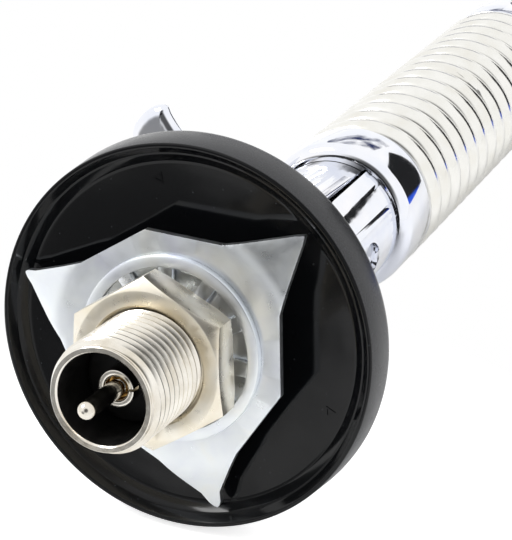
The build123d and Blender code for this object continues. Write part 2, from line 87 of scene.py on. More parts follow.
# %% [markdown]
# A new piece starts from the size of the node that it stands for. Each node
# is measured along its own axis, so a leaning part gives its true length.


# %% Measure the nodes
def span(node, axes=LOWER):
    """The lowest and highest corner of a CAD node in mm, along the given working axes."""
    back = axes.inverted()
    places = [back @ vertex.co / MM for vertex in frame["nodes"][node].data.vertices]
    lowest = Vector([min(place[i] for place in places) for i in range(3)])
    highest = Vector([max(place[i] for place in places) for i in range(3)])
    return lowest, highest


disc_low, disc_high = span("base_disc")
plate_low, plate_high = span("claw_plate")
nut_low, nut_high = span("mounting_nut")
ferrule_low, ferrule_high = span("contact_ferrule")
pin_low, pin_high = span("centre_pin")
sleeve_low, sleeve_high = span("whip_sleeve", UPPER)
cap_low, cap_high = span("tip_cap", UPPER)
print("disc", disc_low, disc_high)
print("claw plate", plate_low, plate_high)
print("nut", nut_low, nut_high)
print("sleeve", sleeve_low, sleeve_high)

# %% [markdown]
# ## Camera
# A long lens looks at the threaded end from below. The three directions are
# the view's right, its up and the way back to the camera.

# %% Camera
camera_data = bpy.data.cameras.new("camera")
camera = bpy.data.objects.new("camera", camera_data)
scene.collection.objects.link(camera)
scene.camera = camera
camera_right = Vector((0.9042, -0.1903, 0.3825)).normalized()
camera_back = Vector((0.2949, -0.3705, -0.8808))
camera_back = (camera_back - camera_back.project(camera_right)).normalized()
camera_up = camera_back.cross(camera_right)
camera_place = mm(93.84, -120.96, -252.84)
camera_turn = Matrix((camera_right, camera_up, camera_back)).transposed()
camera.matrix_world = Matrix.Translation(camera_place) @ camera_turn.to_4x4()
camera_data.sensor_width = 36
camera_data.lens = 132.16
camera_data.clip_start = 0.01
camera_data.clip_end = 20
print("camera", camera.location)

# %% [markdown]
# ## Colour and nodes
# Colours are written as sRGB hex values, as a colour picker gives them, and
# one function turns them to the linear values that the shader needs.


# %% Colour and nodes
def linear(hex_colour):
    """An sRGB hex colour such as "#1b1c1f" as linear red, green, blue and alpha."""
    values = [int(hex_colour[i:i + 2], 16) / 255 for i in (1, 3, 5)]
    return [v / 12.92 if v <= 0.04045 else ((v + 0.055) / 1.055) ** 2.4 for v in values] + [1.0]


def add_node(tree, kind, settings=None, inputs=None, links=None):
    """Adds one shader node with its settings, input values and links from other nodes' outputs."""
    node = tree.nodes.new(kind)
    for name, value in (settings or {}).items():
        setattr(node, name, value)
    for name, value in (inputs or {}).items():
        node.inputs[name].default_value = value
    for name, output in (links or {}).items():
        tree.links.new(output, node.inputs[name])
    return node


def new_material(name, colour, metallic, roughness):
    """A new material, its node tree and the one Principled shader in it."""
    material = bpy.data.materials.new(name)
    material.use_nodes = True
    shader = material.node_tree.nodes["Principled BSDF"]
    shader.inputs["Base Color"].default_value = linear(colour)
    shader.inputs["Metallic"].default_value = metallic
    shader.inputs["Roughness"].default_value = roughness
    return material, material.node_tree, shader


def per_metre(size):
    """A texture's scale, at which its grains are that many millimetres across."""
    return 1 / (size * MM)


def wave_scale(size):
    """A wave texture's scale, at which its bands are 2 pi times that many millimetres apart."""
    return per_metre(size) / 20


# %% [markdown]
# ## Floor
# The antenna lies on a pale table, on the disc's edge and the whip's tip. The
# table touches the disc there and ends shortly in front of it, so that the
# polished disc mirrors the dim room before the table. It is a plane, and it
# gets its finish after the lights.

# %% Floor
floor_tilt = 25.9
floor_up = camera_up * cos(radians(floor_tilt)) + camera_back * sin(radians(floor_tilt))
disc_edge_height = 6.9
floor_axis = (floor_up - Vector((0, 0, floor_up.z))).normalized()
floor_point = -floor_axis * disc_high.x * MM + Vector((0, 0, disc_edge_height * MM))
table_front = camera_back * cos(radians(floor_tilt)) - camera_up * sin(radians(floor_tilt))
bpy.ops.mesh.primitive_plane_add(size=1)
floor = bpy.context.object
floor.name = "floor"
floor_side = 2.4
beyond_left = 0.14
beyond_front = 0.08
floor_middle = (
    floor_point
    + camera_right * (floor_side / 2 - beyond_left)
    - table_front * (floor_side / 2 - beyond_front)
)
floor_axes = Matrix((camera_right * floor_side, -table_front * floor_side, floor_up))
floor.matrix_world = Matrix.Translation(floor_middle) @ floor_axes.transposed().to_4x4()
print("floor faces", floor_up)

# %% [markdown]
# ## Modelling tools
# Most of this antenna comes off a lathe: disc, thread, ferrule, collar, cup.
# A lathe part could be spun from a half section, but here a ring of points is
# extruded and resized along the outline, because each step is then one that
# the hand also makes in edit mode, and the seam closes by itself.


# %% Turned parts
def select_only(piece):
    """Leaves one object selected and active."""
    bpy.ops.object.select_all(action="DESELECT")
    piece.select_set(True)
    bpy.context.view_layer.objects.active = piece


def name_piece(name):
    """Names the object that an operator has just made."""
    piece = bpy.context.object
    piece.name = name
    piece.data.name = name
    return piece


def turned(name, outline, steps):
    """A lathe part about Z. Its outline of radii and heights in mm ends where it began."""
    bpy.ops.object.select_all(action="DESELECT")
    radius, height = outline[0]
    bpy.ops.mesh.primitive_circle_add(
        vertices=steps, radius=radius * MM, location=(0, 0, height * MM)
    )
    piece = name_piece(name)
    bpy.ops.object.transform_apply(location=True, rotation=True, scale=True)
    bpy.ops.object.mode_set(mode="EDIT")
    bpy.ops.mesh.select_mode(type="VERT")
    bpy.ops.mesh.select_all(action="SELECT")
    for next_radius, next_height in outline[1:]:
        bpy.ops.mesh.extrude_region_move(
            TRANSFORM_OT_translate={"value": (0, 0, (next_height - height) * MM)}
        )
        ratio = next_radius / radius
        bpy.ops.transform.resize(value=(ratio, ratio, 1), center_override=(0, 0, 0))
        radius, height = next_radius, next_height
    bpy.ops.mesh.select_all(action="SELECT")
    bpy.ops.mesh.remove_doubles(threshold=0.002 * MM)
    bpy.ops.mesh.normals_make_consistent(inside=False)
    bpy.ops.object.mode_set(mode="OBJECT")
    return piece


def arc_points(centre_radius, centre_height, radius, start, end, steps):
    """Outline points on an arc, in mm, from one angle to another in degrees."""
    angles = [radians(start + (end - start) * i / steps) for i in range(steps + 1)]
    return [(centre_radius + radius * cos(a), centre_height + radius * sin(a)) for a in angles]


# %% [markdown]
# Where a part isn't round, two solids are cut with each other. Every sharp
# edge is then broken with a fine bevel: a real edge is never quite sharp, and
# the bright line on it is what makes metal look like metal.


# %% Cutting, edges and smoothing
def cut(piece, tool, operation="DIFFERENCE"):
    """Cuts a piece with another solid, which is used up."""
    select_only(piece)
    change = piece.modifiers.new("cut", "BOOLEAN")
    change.operation = operation
    change.solver = "EXACT"
    change.object = tool
    bpy.ops.object.modifier_apply(modifier=change.name)
    bpy.data.objects.remove(tool)


def break_edges(piece, width, segments, angle):
    """Rounds the sharp edges of a piece by a width in mm."""
    select_only(piece)
    change = piece.modifiers.new("edges", "BEVEL")
    change.width = width * MM
    change.segments = segments
    change.limit_method = "ANGLE"
    change.angle_limit = radians(angle)
    bpy.ops.object.modifier_apply(modifier=change.name)


def smooth(piece, angle=32):
    """Shades a piece smooth apart from its sharp edges."""
    select_only(piece)
    bpy.ops.object.shade_smooth_by_angle(angle=radians(angle))


def place(piece, axes):
    """Puts a piece made about Z onto the given axes, with its place in its mesh."""
    select_only(piece)
    piece.matrix_world = axes @ piece.matrix_world
    bpy.ops.object.transform_apply(location=True, rotation=True, scale=True)


def join(name, pieces):
    """Joins pieces into one object."""
    select_only(pieces[0])
    for other in pieces[1:]:
        other.select_set(True)
    bpy.ops.object.join()
    return name_piece(name)


def fit(piece, material, slot, body, *nodes):
    """Gives a piece its finish and its body, and says which CAD nodes it stands for."""
    piece.data.materials.clear()
    piece.data.materials.append(material)
    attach(piece, body)
    if nodes:
        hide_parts(*nodes)
    faces = len(piece.data.polygons)
    print(piece.name, "on", body, "with", faces, "faces")


def block(name, size, centre):
    """A box of the given size in mm, centred on a point in mm."""
    bpy.ops.object.select_all(action="DESELECT")
    bpy.ops.mesh.primitive_cube_add(size=1, location=mm(*centre), scale=mm(*size))
    piece = name_piece(name)
    bpy.ops.object.transform_apply(location=True, rotation=True, scale=True)
    return piece


def rod(name, radius, low, high, steps, turn=0):
    """A plain round or many-sided bar along Z, in mm, used as stock or as a cutter."""
    bpy.ops.object.select_all(action="DESELECT")
    bpy.ops.mesh.primitive_cylinder_add(
        vertices=steps,
        radius=radius * MM,
        depth=(high - low) * MM,
        location=(0, 0, (low + high) / 2 * MM),
        rotation=(0, 0, turn),
    )
    piece = name_piece(name)
    bpy.ops.object.transform_apply(location=True, rotation=True, scale=True)
    return piece


def round_uprights(piece, face_x, width, segments):
    """Rounds the upright edges of a flat face that stands at x, all in mm."""
    bpy.ops.object.mode_set(mode="EDIT")
    bpy.ops.mesh.select_mode(type="EDGE")
    bpy.ops.mesh.select_all(action="DESELECT")
    mesh = bmesh.from_edit_mesh(piece.data)
    for edge in mesh.edges:
        upright = abs(edge.verts[0].co.z - edge.verts[1].co.z) > 5 * MM
        on_face = all(abs(vertex.co.x - face_x * MM) < 0.01 * MM for vertex in edge.verts)
        if upright and on_face:
            edge.select_set(True)
    bmesh.update_edit_mesh(piece.data)
    bpy.ops.mesh.bevel(offset=width * MM, segments=segments, affect="EDGES")
    bpy.ops.object.mode_set(mode="OBJECT")


# %% [markdown]
# Thread, spring and the whip's ridge are all a section that climbs as it
# turns. The Screw modifier carries it, and the seams and ends are then closed.


# %% Wound parts
def wind(piece, pitch, turns, steps, weld):
    """Winds a section beside the Z axis into a closed helix, with pitch and weld in mm."""
    select_only(piece)
    helix = piece.modifiers.new("helix", "SCREW")
    helix.axis = "Z"
    helix.angle = 2 * pi
    helix.screw_offset = pitch * MM
    helix.iterations = turns
    helix.steps = steps
    helix.render_steps = steps
    bpy.ops.object.modifier_apply(modifier=helix.name)
    bpy.ops.object.mode_set(mode="EDIT")
    bpy.ops.mesh.select_all(action="SELECT")
    bpy.ops.mesh.remove_doubles(threshold=weld * MM)
    bpy.ops.mesh.fill_holes(sides=0)
    bpy.ops.mesh.normals_make_consistent(inside=False)
    bpy.ops.object.mode_set(mode="OBJECT")


# %% [markdown]
# ## Materials
# No finish here is one flat number. Three small helpers are shared. One lets
# the roughness wander between two values over grains of a real size, one adds
# a shallow relief of a real height, and one blends colours along a pattern.


# %% Shared finish helpers
def wander(tree, shader, socket, grain, low, high, detail=4):
    """Lets a shader value drift between two limits over grains of a size in mm."""
    where = add_node(tree, "ShaderNodeTexCoord").outputs["Object"]
    noise = add_node(
        tree,
        "ShaderNodeTexNoise",
        inputs={"Scale": per_metre(grain), "Detail": detail},
        links={"Vector": where},
    )
    limits = add_node(
        tree,
        "ShaderNodeMapRange",
        inputs={"From Min": 0.3, "From Max": 0.7, "To Min": low, "To Max": high},
        links={"Value": noise.outputs["Fac"]},
    )
    tree.links.new(limits.outputs["Result"], shader.inputs[socket])


def relief(tree, shader, height_output, depth, strength):
    """Adds a relief of a depth in mm to a shader, on top of any relief that it has."""
    bump = add_node(
        tree,
        "ShaderNodeBump",
        inputs={"Strength": strength, "Distance": depth * MM},
        links={"Height": height_output},
    )
    if shader.inputs["Normal"].is_linked:
        tree.links.new(shader.inputs["Normal"].links[0].from_socket, bump.inputs["Normal"])
    tree.links.new(bump.outputs["Normal"], shader.inputs["Normal"])


def blend_colours(tree, shader, factor_output, stops):
    """Colours a shader along a factor. Each stop is a place from 0 to 1 and a hex colour."""
    ramp = add_node(tree, "ShaderNodeValToRGB", links={"Fac": factor_output})
    steps = ramp.color_ramp.elements
    while len(steps) < len(stops):
        steps.new(0.5)
    for step, (position, colour) in zip(steps, stops):
        step.position = position
        step.color = linear(colour)
    tree.links.new(ramp.outputs["Color"], shader.inputs["Base Color"])


# %% [markdown]
# The disc is moulded ABS from a polished tool. Its underside mirrors the room,
# with faint turned rings left by the tool, a shallow waviness where the
# plastic shrank, and dust, because such a surface charges itself and holds it.
# The rings are drawn 3 mm apart, coarser than real ones, so that they show.

# %% Moulded ABS, polished side
disc_gloss, tree, shader = new_material("moulded_abs_gloss", "#0a0b0d", 0, 0.1)
shader.inputs["IOR"].default_value = 1.34
where = add_node(tree, "ShaderNodeTexCoord").outputs["Object"]
wander(tree, shader, "Roughness", 7, 0.05, 0.12)
dust = add_node(
    tree, "ShaderNodeTexVoronoi", inputs={"Scale": per_metre(1.6)}, links={"Vector": where}
)
blend_colours(
    tree,
    shader,
    dust.outputs["Distance"],
    [(0.0, "#54575b"), (0.05, "#2a2c2f"), (0.075, "#0a0b0d")],
)
rings = add_node(
    tree,
    "ShaderNodeTexWave",
    settings={"wave_type": "RINGS", "rings_direction": "Z"},
    inputs={"Scale": wave_scale(0.5), "Distortion": 0.2, "Detail": 2},
    links={"Vector": where},
)
relief(tree, shader, rings.outputs["Fac"], 0.004, 0.35)
shrinkage = add_node(
    tree,
    "ShaderNodeTexNoise",
    inputs={"Scale": per_metre(16), "Detail": 1},
    links={"Vector": where},
)
relief(tree, shader, shrinkage.outputs["Fac"], 0.25, 0.5)
print(disc_gloss.name, len(tree.nodes), "nodes")

# %% [markdown]
# The wall of the disc comes from a matt part of the same tool. Its eroded
# grain scatters light and turns black plastic grey. It is drawn 0.3 mm across,
# coarser than a real one, so that it shows.

# %% Moulded ABS, matt side
disc_matt, tree, shader = new_material("moulded_abs_matt", "#232427", 0, 0.26)
shader.inputs["IOR"].default_value = 1.45
where = add_node(tree, "ShaderNodeTexCoord").outputs["Object"]
wander(tree, shader, "Roughness", 3, 0.22, 0.3)
grain = add_node(
    tree,
    "ShaderNodeTexNoise",
    inputs={"Scale": per_metre(0.3), "Detail": 3},
    links={"Vector": where},
)
blend_colours(
    tree, shader, grain.outputs["Fac"], [(0.25, "#1c1d20"), (0.5, "#232427"), (0.8, "#2e2f33")]
)
relief(tree, shader, grain.outputs["Fac"], 0.02, 0.6)
print(disc_matt.name, len(tree.nodes), "nodes")

# %% [markdown]
# Bushing, ferrules and pin are turned brass under bright nickel, which is
# warmer than chrome. A lathe leaves fine rings round the axis. They are drawn
# 0.75 mm apart, coarser than real ones, and small pits lie between them.

# %% Bright nickel on turned brass
nickel, tree, shader = new_material("nickel_plated_brass", "#d8d0c2", 1, 0.16)
where = add_node(tree, "ShaderNodeTexCoord").outputs["Object"]
wander(tree, shader, "Roughness", 0.8, 0.1, 0.22)
tarnish = add_node(
    tree,
    "ShaderNodeTexNoise",
    inputs={"Scale": per_metre(5), "Detail": 6},
    links={"Vector": where},
)
blend_colours(
    tree, shader, tarnish.outputs["Fac"], [(0.3, "#d3cbbb"), (0.5, "#e4dfd5"), (0.7, "#efece4")]
)
tool_marks = add_node(
    tree,
    "ShaderNodeTexWave",
    settings={"bands_direction": "Z"},
    inputs={"Scale": wave_scale(0.12), "Distortion": 0.6, "Detail": 2, "Detail Scale": 2},
    links={"Vector": where},
)
relief(tree, shader, tool_marks.outputs["Fac"], 0.003, 0.45)
pits = add_node(
    tree,
    "ShaderNodeTexNoise",
    inputs={"Scale": per_metre(0.5), "Detail": 4},
    links={"Vector": where},
)
relief(tree, shader, pits.outputs["Fac"], 0.003, 0.3)
print(nickel.name, len(tree.nodes), "nodes")

# %% [markdown]
# The nut is turned and milled from bar. Its face keeps the rings of the tool,
# drawn 1.6 mm apart, and all of it has small dents under a satin nickel.

# %% Satin nickel on the nut
nut_nickel, tree, shader = new_material("nickel_plated_nut", "#d3c9b4", 1, 0.24)
where = add_node(tree, "ShaderNodeTexCoord").outputs["Object"]
wander(tree, shader, "Roughness", 1.5, 0.26, 0.32)
stains = add_node(
    tree,
    "ShaderNodeTexNoise",
    inputs={"Scale": per_metre(4), "Detail": 6},
    links={"Vector": where},
)
blend_colours(
    tree, shader, stains.outputs["Fac"], [(0.3, "#e6ddc8"), (0.5, "#ebe4d4"), (0.72, "#efebe0")]
)
face_rings = add_node(
    tree,
    "ShaderNodeTexWave",
    settings={"wave_type": "RINGS", "rings_direction": "Z"},
    inputs={"Scale": wave_scale(0.25), "Distortion": 0.4, "Detail": 2},
    links={"Vector": where},
)
relief(tree, shader, face_rings.outputs["Fac"], 0.004, 0.35)
dents = add_node(
    tree,
    "ShaderNodeTexNoise",
    inputs={"Scale": per_metre(0.9), "Detail": 5},
    links={"Vector": where},
)
relief(tree, shader, dents.outputs["Fac"], 0.006, 0.4)
print(nut_nickel.name, len(tree.nodes), "nodes")

# %% [markdown]
# The claw plate and its lock washer are stamped steel with clear passivated
# zinc: cool grey with a trace of violet and straw where the film varies, a
# fine rolled grain that runs along the sheet, and knocks from other parts.

# %% Passivated zinc on stamped steel
zinc, tree, shader = new_material("zinc_plated_steel", "#c3c8d0", 1, 0.26)
where = add_node(tree, "ShaderNodeTexCoord").outputs["Object"]
wander(tree, shader, "Roughness", 2.5, 0.27, 0.36, 6)
film = add_node(
    tree,
    "ShaderNodeTexNoise",
    inputs={"Scale": per_metre(7), "Detail": 3, "Distortion": 0.6},
    links={"Vector": where},
)
blend_colours(
    tree,
    shader,
    film.outputs["Fac"],
    [(0.25, "#dcdfe9"), (0.42, "#e2e6eb"), (0.58, "#e7ebed"), (0.75, "#e9eae6")],
)
rolled = add_node(
    tree,
    "ShaderNodeMapping",
    inputs={"Scale": (0.08, 1.0, 1.0), "Rotation": (0, 0, 0.6)},
    links={"Vector": where},
)
rolling = add_node(
    tree,
    "ShaderNodeTexNoise",
    inputs={"Scale": per_metre(0.35), "Detail": 3},
    links={"Vector": rolled.outputs["Vector"]},
)
relief(tree, shader, rolling.outputs["Fac"], 0.008, 0.5)
knocks = add_node(
    tree,
    "ShaderNodeTexNoise",
    inputs={"Scale": per_metre(3.2), "Detail": 4},
    links={"Vector": where},
)
relief(tree, shader, knocks.outputs["Fac"], 0.03, 0.4)
print(zinc.name, len(tree.nodes), "nodes")

# %% [markdown]
# Knuckles, collar, wing bolt and cup are die-cast zinc, polished and chromed.
# Chrome is the brightest and coolest finish here. A polished casting is never
# flat: it rolls over several millimetres, which bends every reflection.

# %% Chrome on polished castings
chrome, tree, shader = new_material("chromed_casting", "#dfe2e8", 1, 0.05)
where = add_node(tree, "ShaderNodeTexCoord").outputs["Object"]
wander(tree, shader, "Roughness", 2, 0.03, 0.08)
rolling = add_node(
    tree,
    "ShaderNodeTexNoise",
    inputs={"Scale": per_metre(7), "Detail": 2},
    links={"Vector": where},
)
blend_colours(
    tree, shader, rolling.outputs["Fac"], [(0.35, "#e2e5ee"), (0.5, "#e9ebf1"), (0.7, "#efeff2")]
)
relief(tree, shader, rolling.outputs["Fac"], 0.05, 0.5)
print(chrome.name, len(tree.nodes), "nodes")

# %% [markdown]
# The spring is drawn wire with bright nickel over it. Drawing leaves slow
# waves of a few millimetres, which widen each highlight, and nickel gives it
# the yellow that the chrome beside it lacks.

# %% Bright nickel on drawn wire
wire_nickel, tree, shader = new_material("nickel_plated_wire", "#ddd9ce", 1, 0.17)
where = add_node(tree, "ShaderNodeTexCoord").outputs["Object"]
wander(tree, shader, "Roughness", 2, 0.13, 0.2)
skin = add_node(
    tree,
    "ShaderNodeTexNoise",
    inputs={"Scale": per_metre(4), "Detail": 2},
    links={"Vector": where},
)
blend_colours(
    tree, shader, skin.outputs["Fac"], [(0.3, "#e3e1da"), (0.5, "#e7e6e1"), (0.7, "#ebeae6")]
)
relief(tree, shader, skin.outputs["Fac"], 0.01, 0.3)
print(wire_nickel.name, len(tree.nodes), "nodes")

# %% [markdown]
# The insulators are phenolic, a dull brown-black. The same finish is painted
# shade on the metal wall inside the socket. Gasket, seal and the whip's cap are
# rubber, duller still, with a slight bloom.

# %% Phenolic, also painted shade in the socket, and rubber
phenolic_and_bore_shade, tree, shader = new_material("phenolic_and_painted_bore_shade", "#0b0a0a", 0, 0.45)
where = add_node(tree, "ShaderNodeTexCoord").outputs["Object"]
wander(tree, shader, "Roughness", 1.5, 0.35, 0.6)
flour = add_node(
    tree,
    "ShaderNodeTexNoise",
    inputs={"Scale": per_metre(0.6), "Detail": 4},
    links={"Vector": where},
)
blend_colours(
    tree, shader, flour.outputs["Fac"], [(0.3, "#070606"), (0.6, "#0d0c0b"), (0.8, "#171412")]
)
relief(tree, shader, flour.outputs["Fac"], 0.02, 0.4)

rubber, tree, shader = new_material("nitrile_rubber", "#161617", 0, 0.7)
where = add_node(tree, "ShaderNodeTexCoord").outputs["Object"]
wander(tree, shader, "Roughness", 2, 0.6, 0.85)
bloom = add_node(
    tree,
    "ShaderNodeTexNoise",
    inputs={"Scale": per_metre(2), "Detail": 5},
    links={"Vector": where},
)
blend_colours(
    tree, shader, bloom.outputs["Fac"], [(0.3, "#111112"), (0.55, "#19191a"), (0.8, "#242425")]
)
relief(tree, shader, bloom.outputs["Fac"], 0.03, 0.4)
print(phenolic_and_bore_shade.name, rubber.name)

# %% [markdown]
# Bare brass shows inside the ferrule, darkened by handling. Copper and glass
# fibre are hidden in the whip, oiled steel is on the split washer and the
# screws, and the whip's sleeve is shrunk polyolefin: satin black with a fine
# orange peel.

# %% Brass, copper, glass fibre, steel and sleeve
brass, tree, shader = new_material("bare_brass", "#b08a4a", 1, 0.3)
where = add_node(tree, "ShaderNodeTexCoord").outputs["Object"]
wander(tree, shader, "Roughness", 0.6, 0.22, 0.42)
patina = add_node(
    tree,
    "ShaderNodeTexNoise",
    inputs={"Scale": per_metre(0.8), "Detail": 5},
    links={"Vector": where},
)
blend_colours(
    tree, shader, patina.outputs["Fac"], [(0.3, "#6f4f26"), (0.55, "#a98246"), (0.75, "#c9a763")]
)

copper, tree, shader = new_material("enamelled_copper", "#a9572f", 1, 0.28)
where = add_node(tree, "ShaderNodeTexCoord").outputs["Object"]
# The bands are dark in the grooves and light on the crests: painted shade between the turns and a
# painted highlight on each.
turns = add_node(
    tree,
    "ShaderNodeTexWave",
    settings={"bands_direction": "Z"},
    inputs={"Scale": wave_scale(0.5)},
    links={"Vector": where},
)
blend_colours(
    tree, shader, turns.outputs["Fac"], [(0.0, "#5a2a16"), (0.5, "#a9572f"), (1.0, "#c57a4c")]
)
relief(tree, shader, turns.outputs["Fac"], 0.1, 0.8)

glass_fibre, tree, shader = new_material("glass_fibre_rod", "#c9c6a8", 0, 0.4)
where = add_node(tree, "ShaderNodeTexCoord").outputs["Object"]
drawn = add_node(
    tree, "ShaderNodeMapping", inputs={"Scale": (1, 1, 0.02)}, links={"Vector": where}
)
fibres = add_node(
    tree,
    "ShaderNodeTexNoise",
    inputs={"Scale": per_metre(0.2), "Detail": 3},
    links={"Vector": drawn.outputs["Vector"]},
)
blend_colours(
    tree, shader, fibres.outputs["Fac"], [(0.3, "#a9a684"), (0.5, "#c9c6a8"), (0.75, "#dedcc6")]
)
relief(tree, shader, fibres.outputs["Fac"], 0.02, 0.5)

steel, tree, shader = new_material("oiled_steel", "#8d8c89", 1, 0.35)
where = add_node(tree, "ShaderNodeTexCoord").outputs["Object"]
wander(tree, shader, "Roughness", 1.5, 0.28, 0.48)
oil = add_node(
    tree,
    "ShaderNodeTexNoise",
    inputs={"Scale": per_metre(3), "Detail": 5},
    links={"Vector": where},
)
blend_colours(
    tree, shader, oil.outputs["Fac"], [(0.3, "#6d6a64"), (0.55, "#8d8c89"), (0.8, "#a3a4a6")]
)

sleeve_black, tree, shader = new_material("shrunk_polyolefin", "#101112", 0, 0.32)
where = add_node(tree, "ShaderNodeTexCoord").outputs["Object"]
wander(tree, shader, "Roughness", 2.5, 0.25, 0.42)
peel = add_node(
    tree,
    "ShaderNodeTexNoise",
    inputs={"Scale": per_metre(0.8), "Detail": 2},
    links={"Vector": where},
)
blend_colours(
    tree, shader, peel.outputs["Fac"], [(0.3, "#0c0d0e"), (0.55, "#121314"), (0.8, "#1b1c1e")]
)
relief(tree, shader, peel.outputs["Fac"], 0.03, 0.4)
print(brass.name, copper.name, glass_fibre.name, steel.name, sleeve_black.name)

# %% [markdown]
# ## Base disc
# One turning gives the whole disc: a draughted wall, a narrow land that rests
# on the panel, a small step inside it and a shallow polished recess. Its wall
# takes the matt finish and the rest the polished one, so faces of the wall are
# picked by their normals and get the second material.

# %% Base disc
rim = 30.0
wall_top_radius = rim + 0.5
wall_top = disc_edge_height
wall_foot = 0.15
disc_outline = [
    (8.55, 9.05),
    (8.55, 2.5),
    (26.4, 2.5),
    (26.9, 2.35),
    (27.15, 2.1),
    (28.1, 1.3),
    (28.4, 1.22),
    (28.55, 1.05),
    (29.2, 0.25),
    (29.35, 0.08),
    (29.55, 0.0),
    (29.85, 0.0),
    (29.98, 0.06),
    (30.05, 0.2),
]
wall_round = 1.1
disc_outline += [(wall_top_radius - 0.02, wall_top - wall_round)]
disc_outline += arc_points(wall_top_radius - wall_round, wall_top - 0.75, wall_round, 15, 65, 4)
disc_outline += [
    (26.9, 8.65),
    (24.0, 10.1),
    (21.0, 11.3),
    (18.0, 12.2),
    (15.3, 12.9),
    (15.0, 13.0),
    (2.05, 13.0),
    (2.05, 9.05),
    (8.55, 9.05),
]
disc = turned("disc_moulding", disc_outline, 256)
pocket_side = 12.1
pocket_floor = 11.35
pocket_depth = 4
pocket_middle = (0, 0, pocket_floor + pocket_depth / 2)
key_pocket = block("key_pocket", (pocket_side, pocket_side, pocket_depth), pocket_middle)
cut(disc, key_pocket)
smooth(disc, 25)
fit(disc, disc_gloss, "black_moulding", "base", "base_disc")
disc.data.materials.append(disc_matt)
for face in disc.data.polygons:
    outside = face.center.xy.length > (rim - 0.1) * MM
    if outside and abs(face.normal.z) < 0.5 and face.center.z > wall_foot * MM:
        face.material_index = 1
print("disc faces", len(disc.data.polygons))

# %% [markdown]
# Two marks of the mould stand up from the recess, each a small triangular
# frame. A three-cornered face is inset, opened in the middle and extruded. A
# mark is given by its angle in degrees, its radius in mm and its own turn.

# %% Mould marks
mould_marks = [(-112.2, 24.3, 1.2), (9.6, 24.4, 0.3)]
recess_height = 2.5
for number, (mark_angle, mark_radius, mark_turn) in enumerate(mould_marks, 1):
    bpy.ops.object.select_all(action="DESELECT")
    bpy.ops.mesh.primitive_circle_add(vertices=3, radius=1.0 * MM, fill_type="NGON")
    mark = name_piece("mould_mark_%d" % number)
    bpy.ops.object.mode_set(mode="EDIT")
    bpy.ops.mesh.select_all(action="SELECT")
    bpy.ops.mesh.inset(thickness=0.22 * MM, depth=0)
    bpy.ops.mesh.delete(type="ONLY_FACE")
    bpy.ops.mesh.select_all(action="SELECT")
    bpy.ops.mesh.extrude_region_move(TRANSFORM_OT_translate={"value": (0, 0, -0.12 * MM)})
    bpy.ops.mesh.select_all(action="SELECT")
    bpy.ops.mesh.normals_make_consistent(inside=False)
    bpy.ops.object.mode_set(mode="OBJECT")
    mark_x = mark_radius * cos(radians(mark_angle))
    mark_y = mark_radius * sin(radians(mark_angle))
    mark.location = mm(mark_x, mark_y, recess_height)
    mark.rotation_euler.z = mark_turn
    place(mark, LOWER)
    fit(mark, disc_gloss, "black_moulding", "base")

# %% [markdown]
# ## Threaded bushing
# The thread is an M17 with a 1.5 mm pitch. A thread could be a bump, but the
# light on it changes from flank to flank, so it is real: a four-cornered
# section wound up the tube, pressed flat at the mouth and down to the cone of
# its chamfer, and set on the turned core.

# %% Threaded bushing
pitch = 1.5
crest = 8.5
root = 7.72
mouth = -26.7
lip = 7.75
lip_round = 0.25
thread_end = -6.6
thread_turns = 14
chamfer = 1.2
trimmed = 0.3
bore = 6.75
section_middle = mm(root, 0, mouth - 1.4)
bpy.ops.object.select_all(action="DESELECT")
bpy.ops.mesh.primitive_circle_add(
    vertices=4, radius=0.74 * MM, location=section_middle, rotation=(radians(90), 0, 0)
)
thread = name_piece("thread")
bpy.ops.object.transform_apply(location=True, rotation=True, scale=True)
bpy.ops.object.mode_set(mode="EDIT")
bpy.ops.mesh.select_all(action="SELECT")
bpy.ops.transform.resize(value=(1.2, 1, 1), center_override=section_middle)
bpy.ops.mesh.bevel(offset=0.15 * MM, segments=2, affect="VERTICES")
bpy.ops.object.mode_set(mode="OBJECT")
wind(thread, pitch, thread_turns, 96, 0.0005)
taper = (crest - lip) / chamfer
for vertex in thread.data.vertices:
    vertex.co.z = max(vertex.co.z, (mouth + trimmed) * MM)
    height = vertex.co.z / MM
    radius = vertex.co.xy.length / MM
    allowed = min(crest, lip + taper * max(0.0, height - mouth - trimmed))
    if radius > allowed:
        vertex.co.x *= allowed / radius
        vertex.co.y *= allowed / radius
print("thread", len(thread.data.polygons), "faces")
bushing = turned(
    "threaded_tube",
    [
        (bore, mouth + lip_round),
        (bore + 0.1, mouth + 0.1),
        (bore + lip_round, mouth),
        (lip - 0.12, mouth),
        (lip, mouth + 0.12),
        (lip, mouth + 0.5),
        (root, mouth + 0.6),
        (root, thread_end),
        (root, 0.8),
        (12.0, 0.8),
        (12.0, 2.0),
        (crest, 2.0),
        (crest, 9.0),
        (4.5, 9.0),
        (4.5, -2.0),
        (bore, -2.0),
        (bore, mouth + lip_round),
    ],
    96,
)
bushing = join("threaded_bushing_turned", [bushing, thread])
smooth(bushing, 30)
fit(bushing, nickel, "nickel_plating", "base", "threaded_bushing")
# The metal wall of the bore takes the black phenolic finish: painted shade for the dark inside the
# socket.
bushing.data.materials.append(phenolic_and_bore_shade)
for face in bushing.data.polygons:
    if face.center.xy.length < (bore + 0.02) * MM and face.center.z > (mouth + lip_round) * MM:
        face.material_index = 1

# %% [markdown]
# ## Inside the socket
# A black insulator fills the tube's far end. The ferrule stands on it, and the
# centre pin with its domed end stands in the ferrule.

# %% Carrier, ferrule and centre pin
carrier = turned(
    "contact_carrier_disc",
    [
        (2.8, -17.5),
        (6.1, -17.5),
        (6.5, -17.35),
        (6.68, -17.1),
        (6.68, -12.0),
        (2.8, -12.0),
        (2.8, -17.5),
    ],
    96,
)
smooth(carrier)
fit(carrier, phenolic_and_bore_shade, "insulator_black", "base", "contact_carrier")

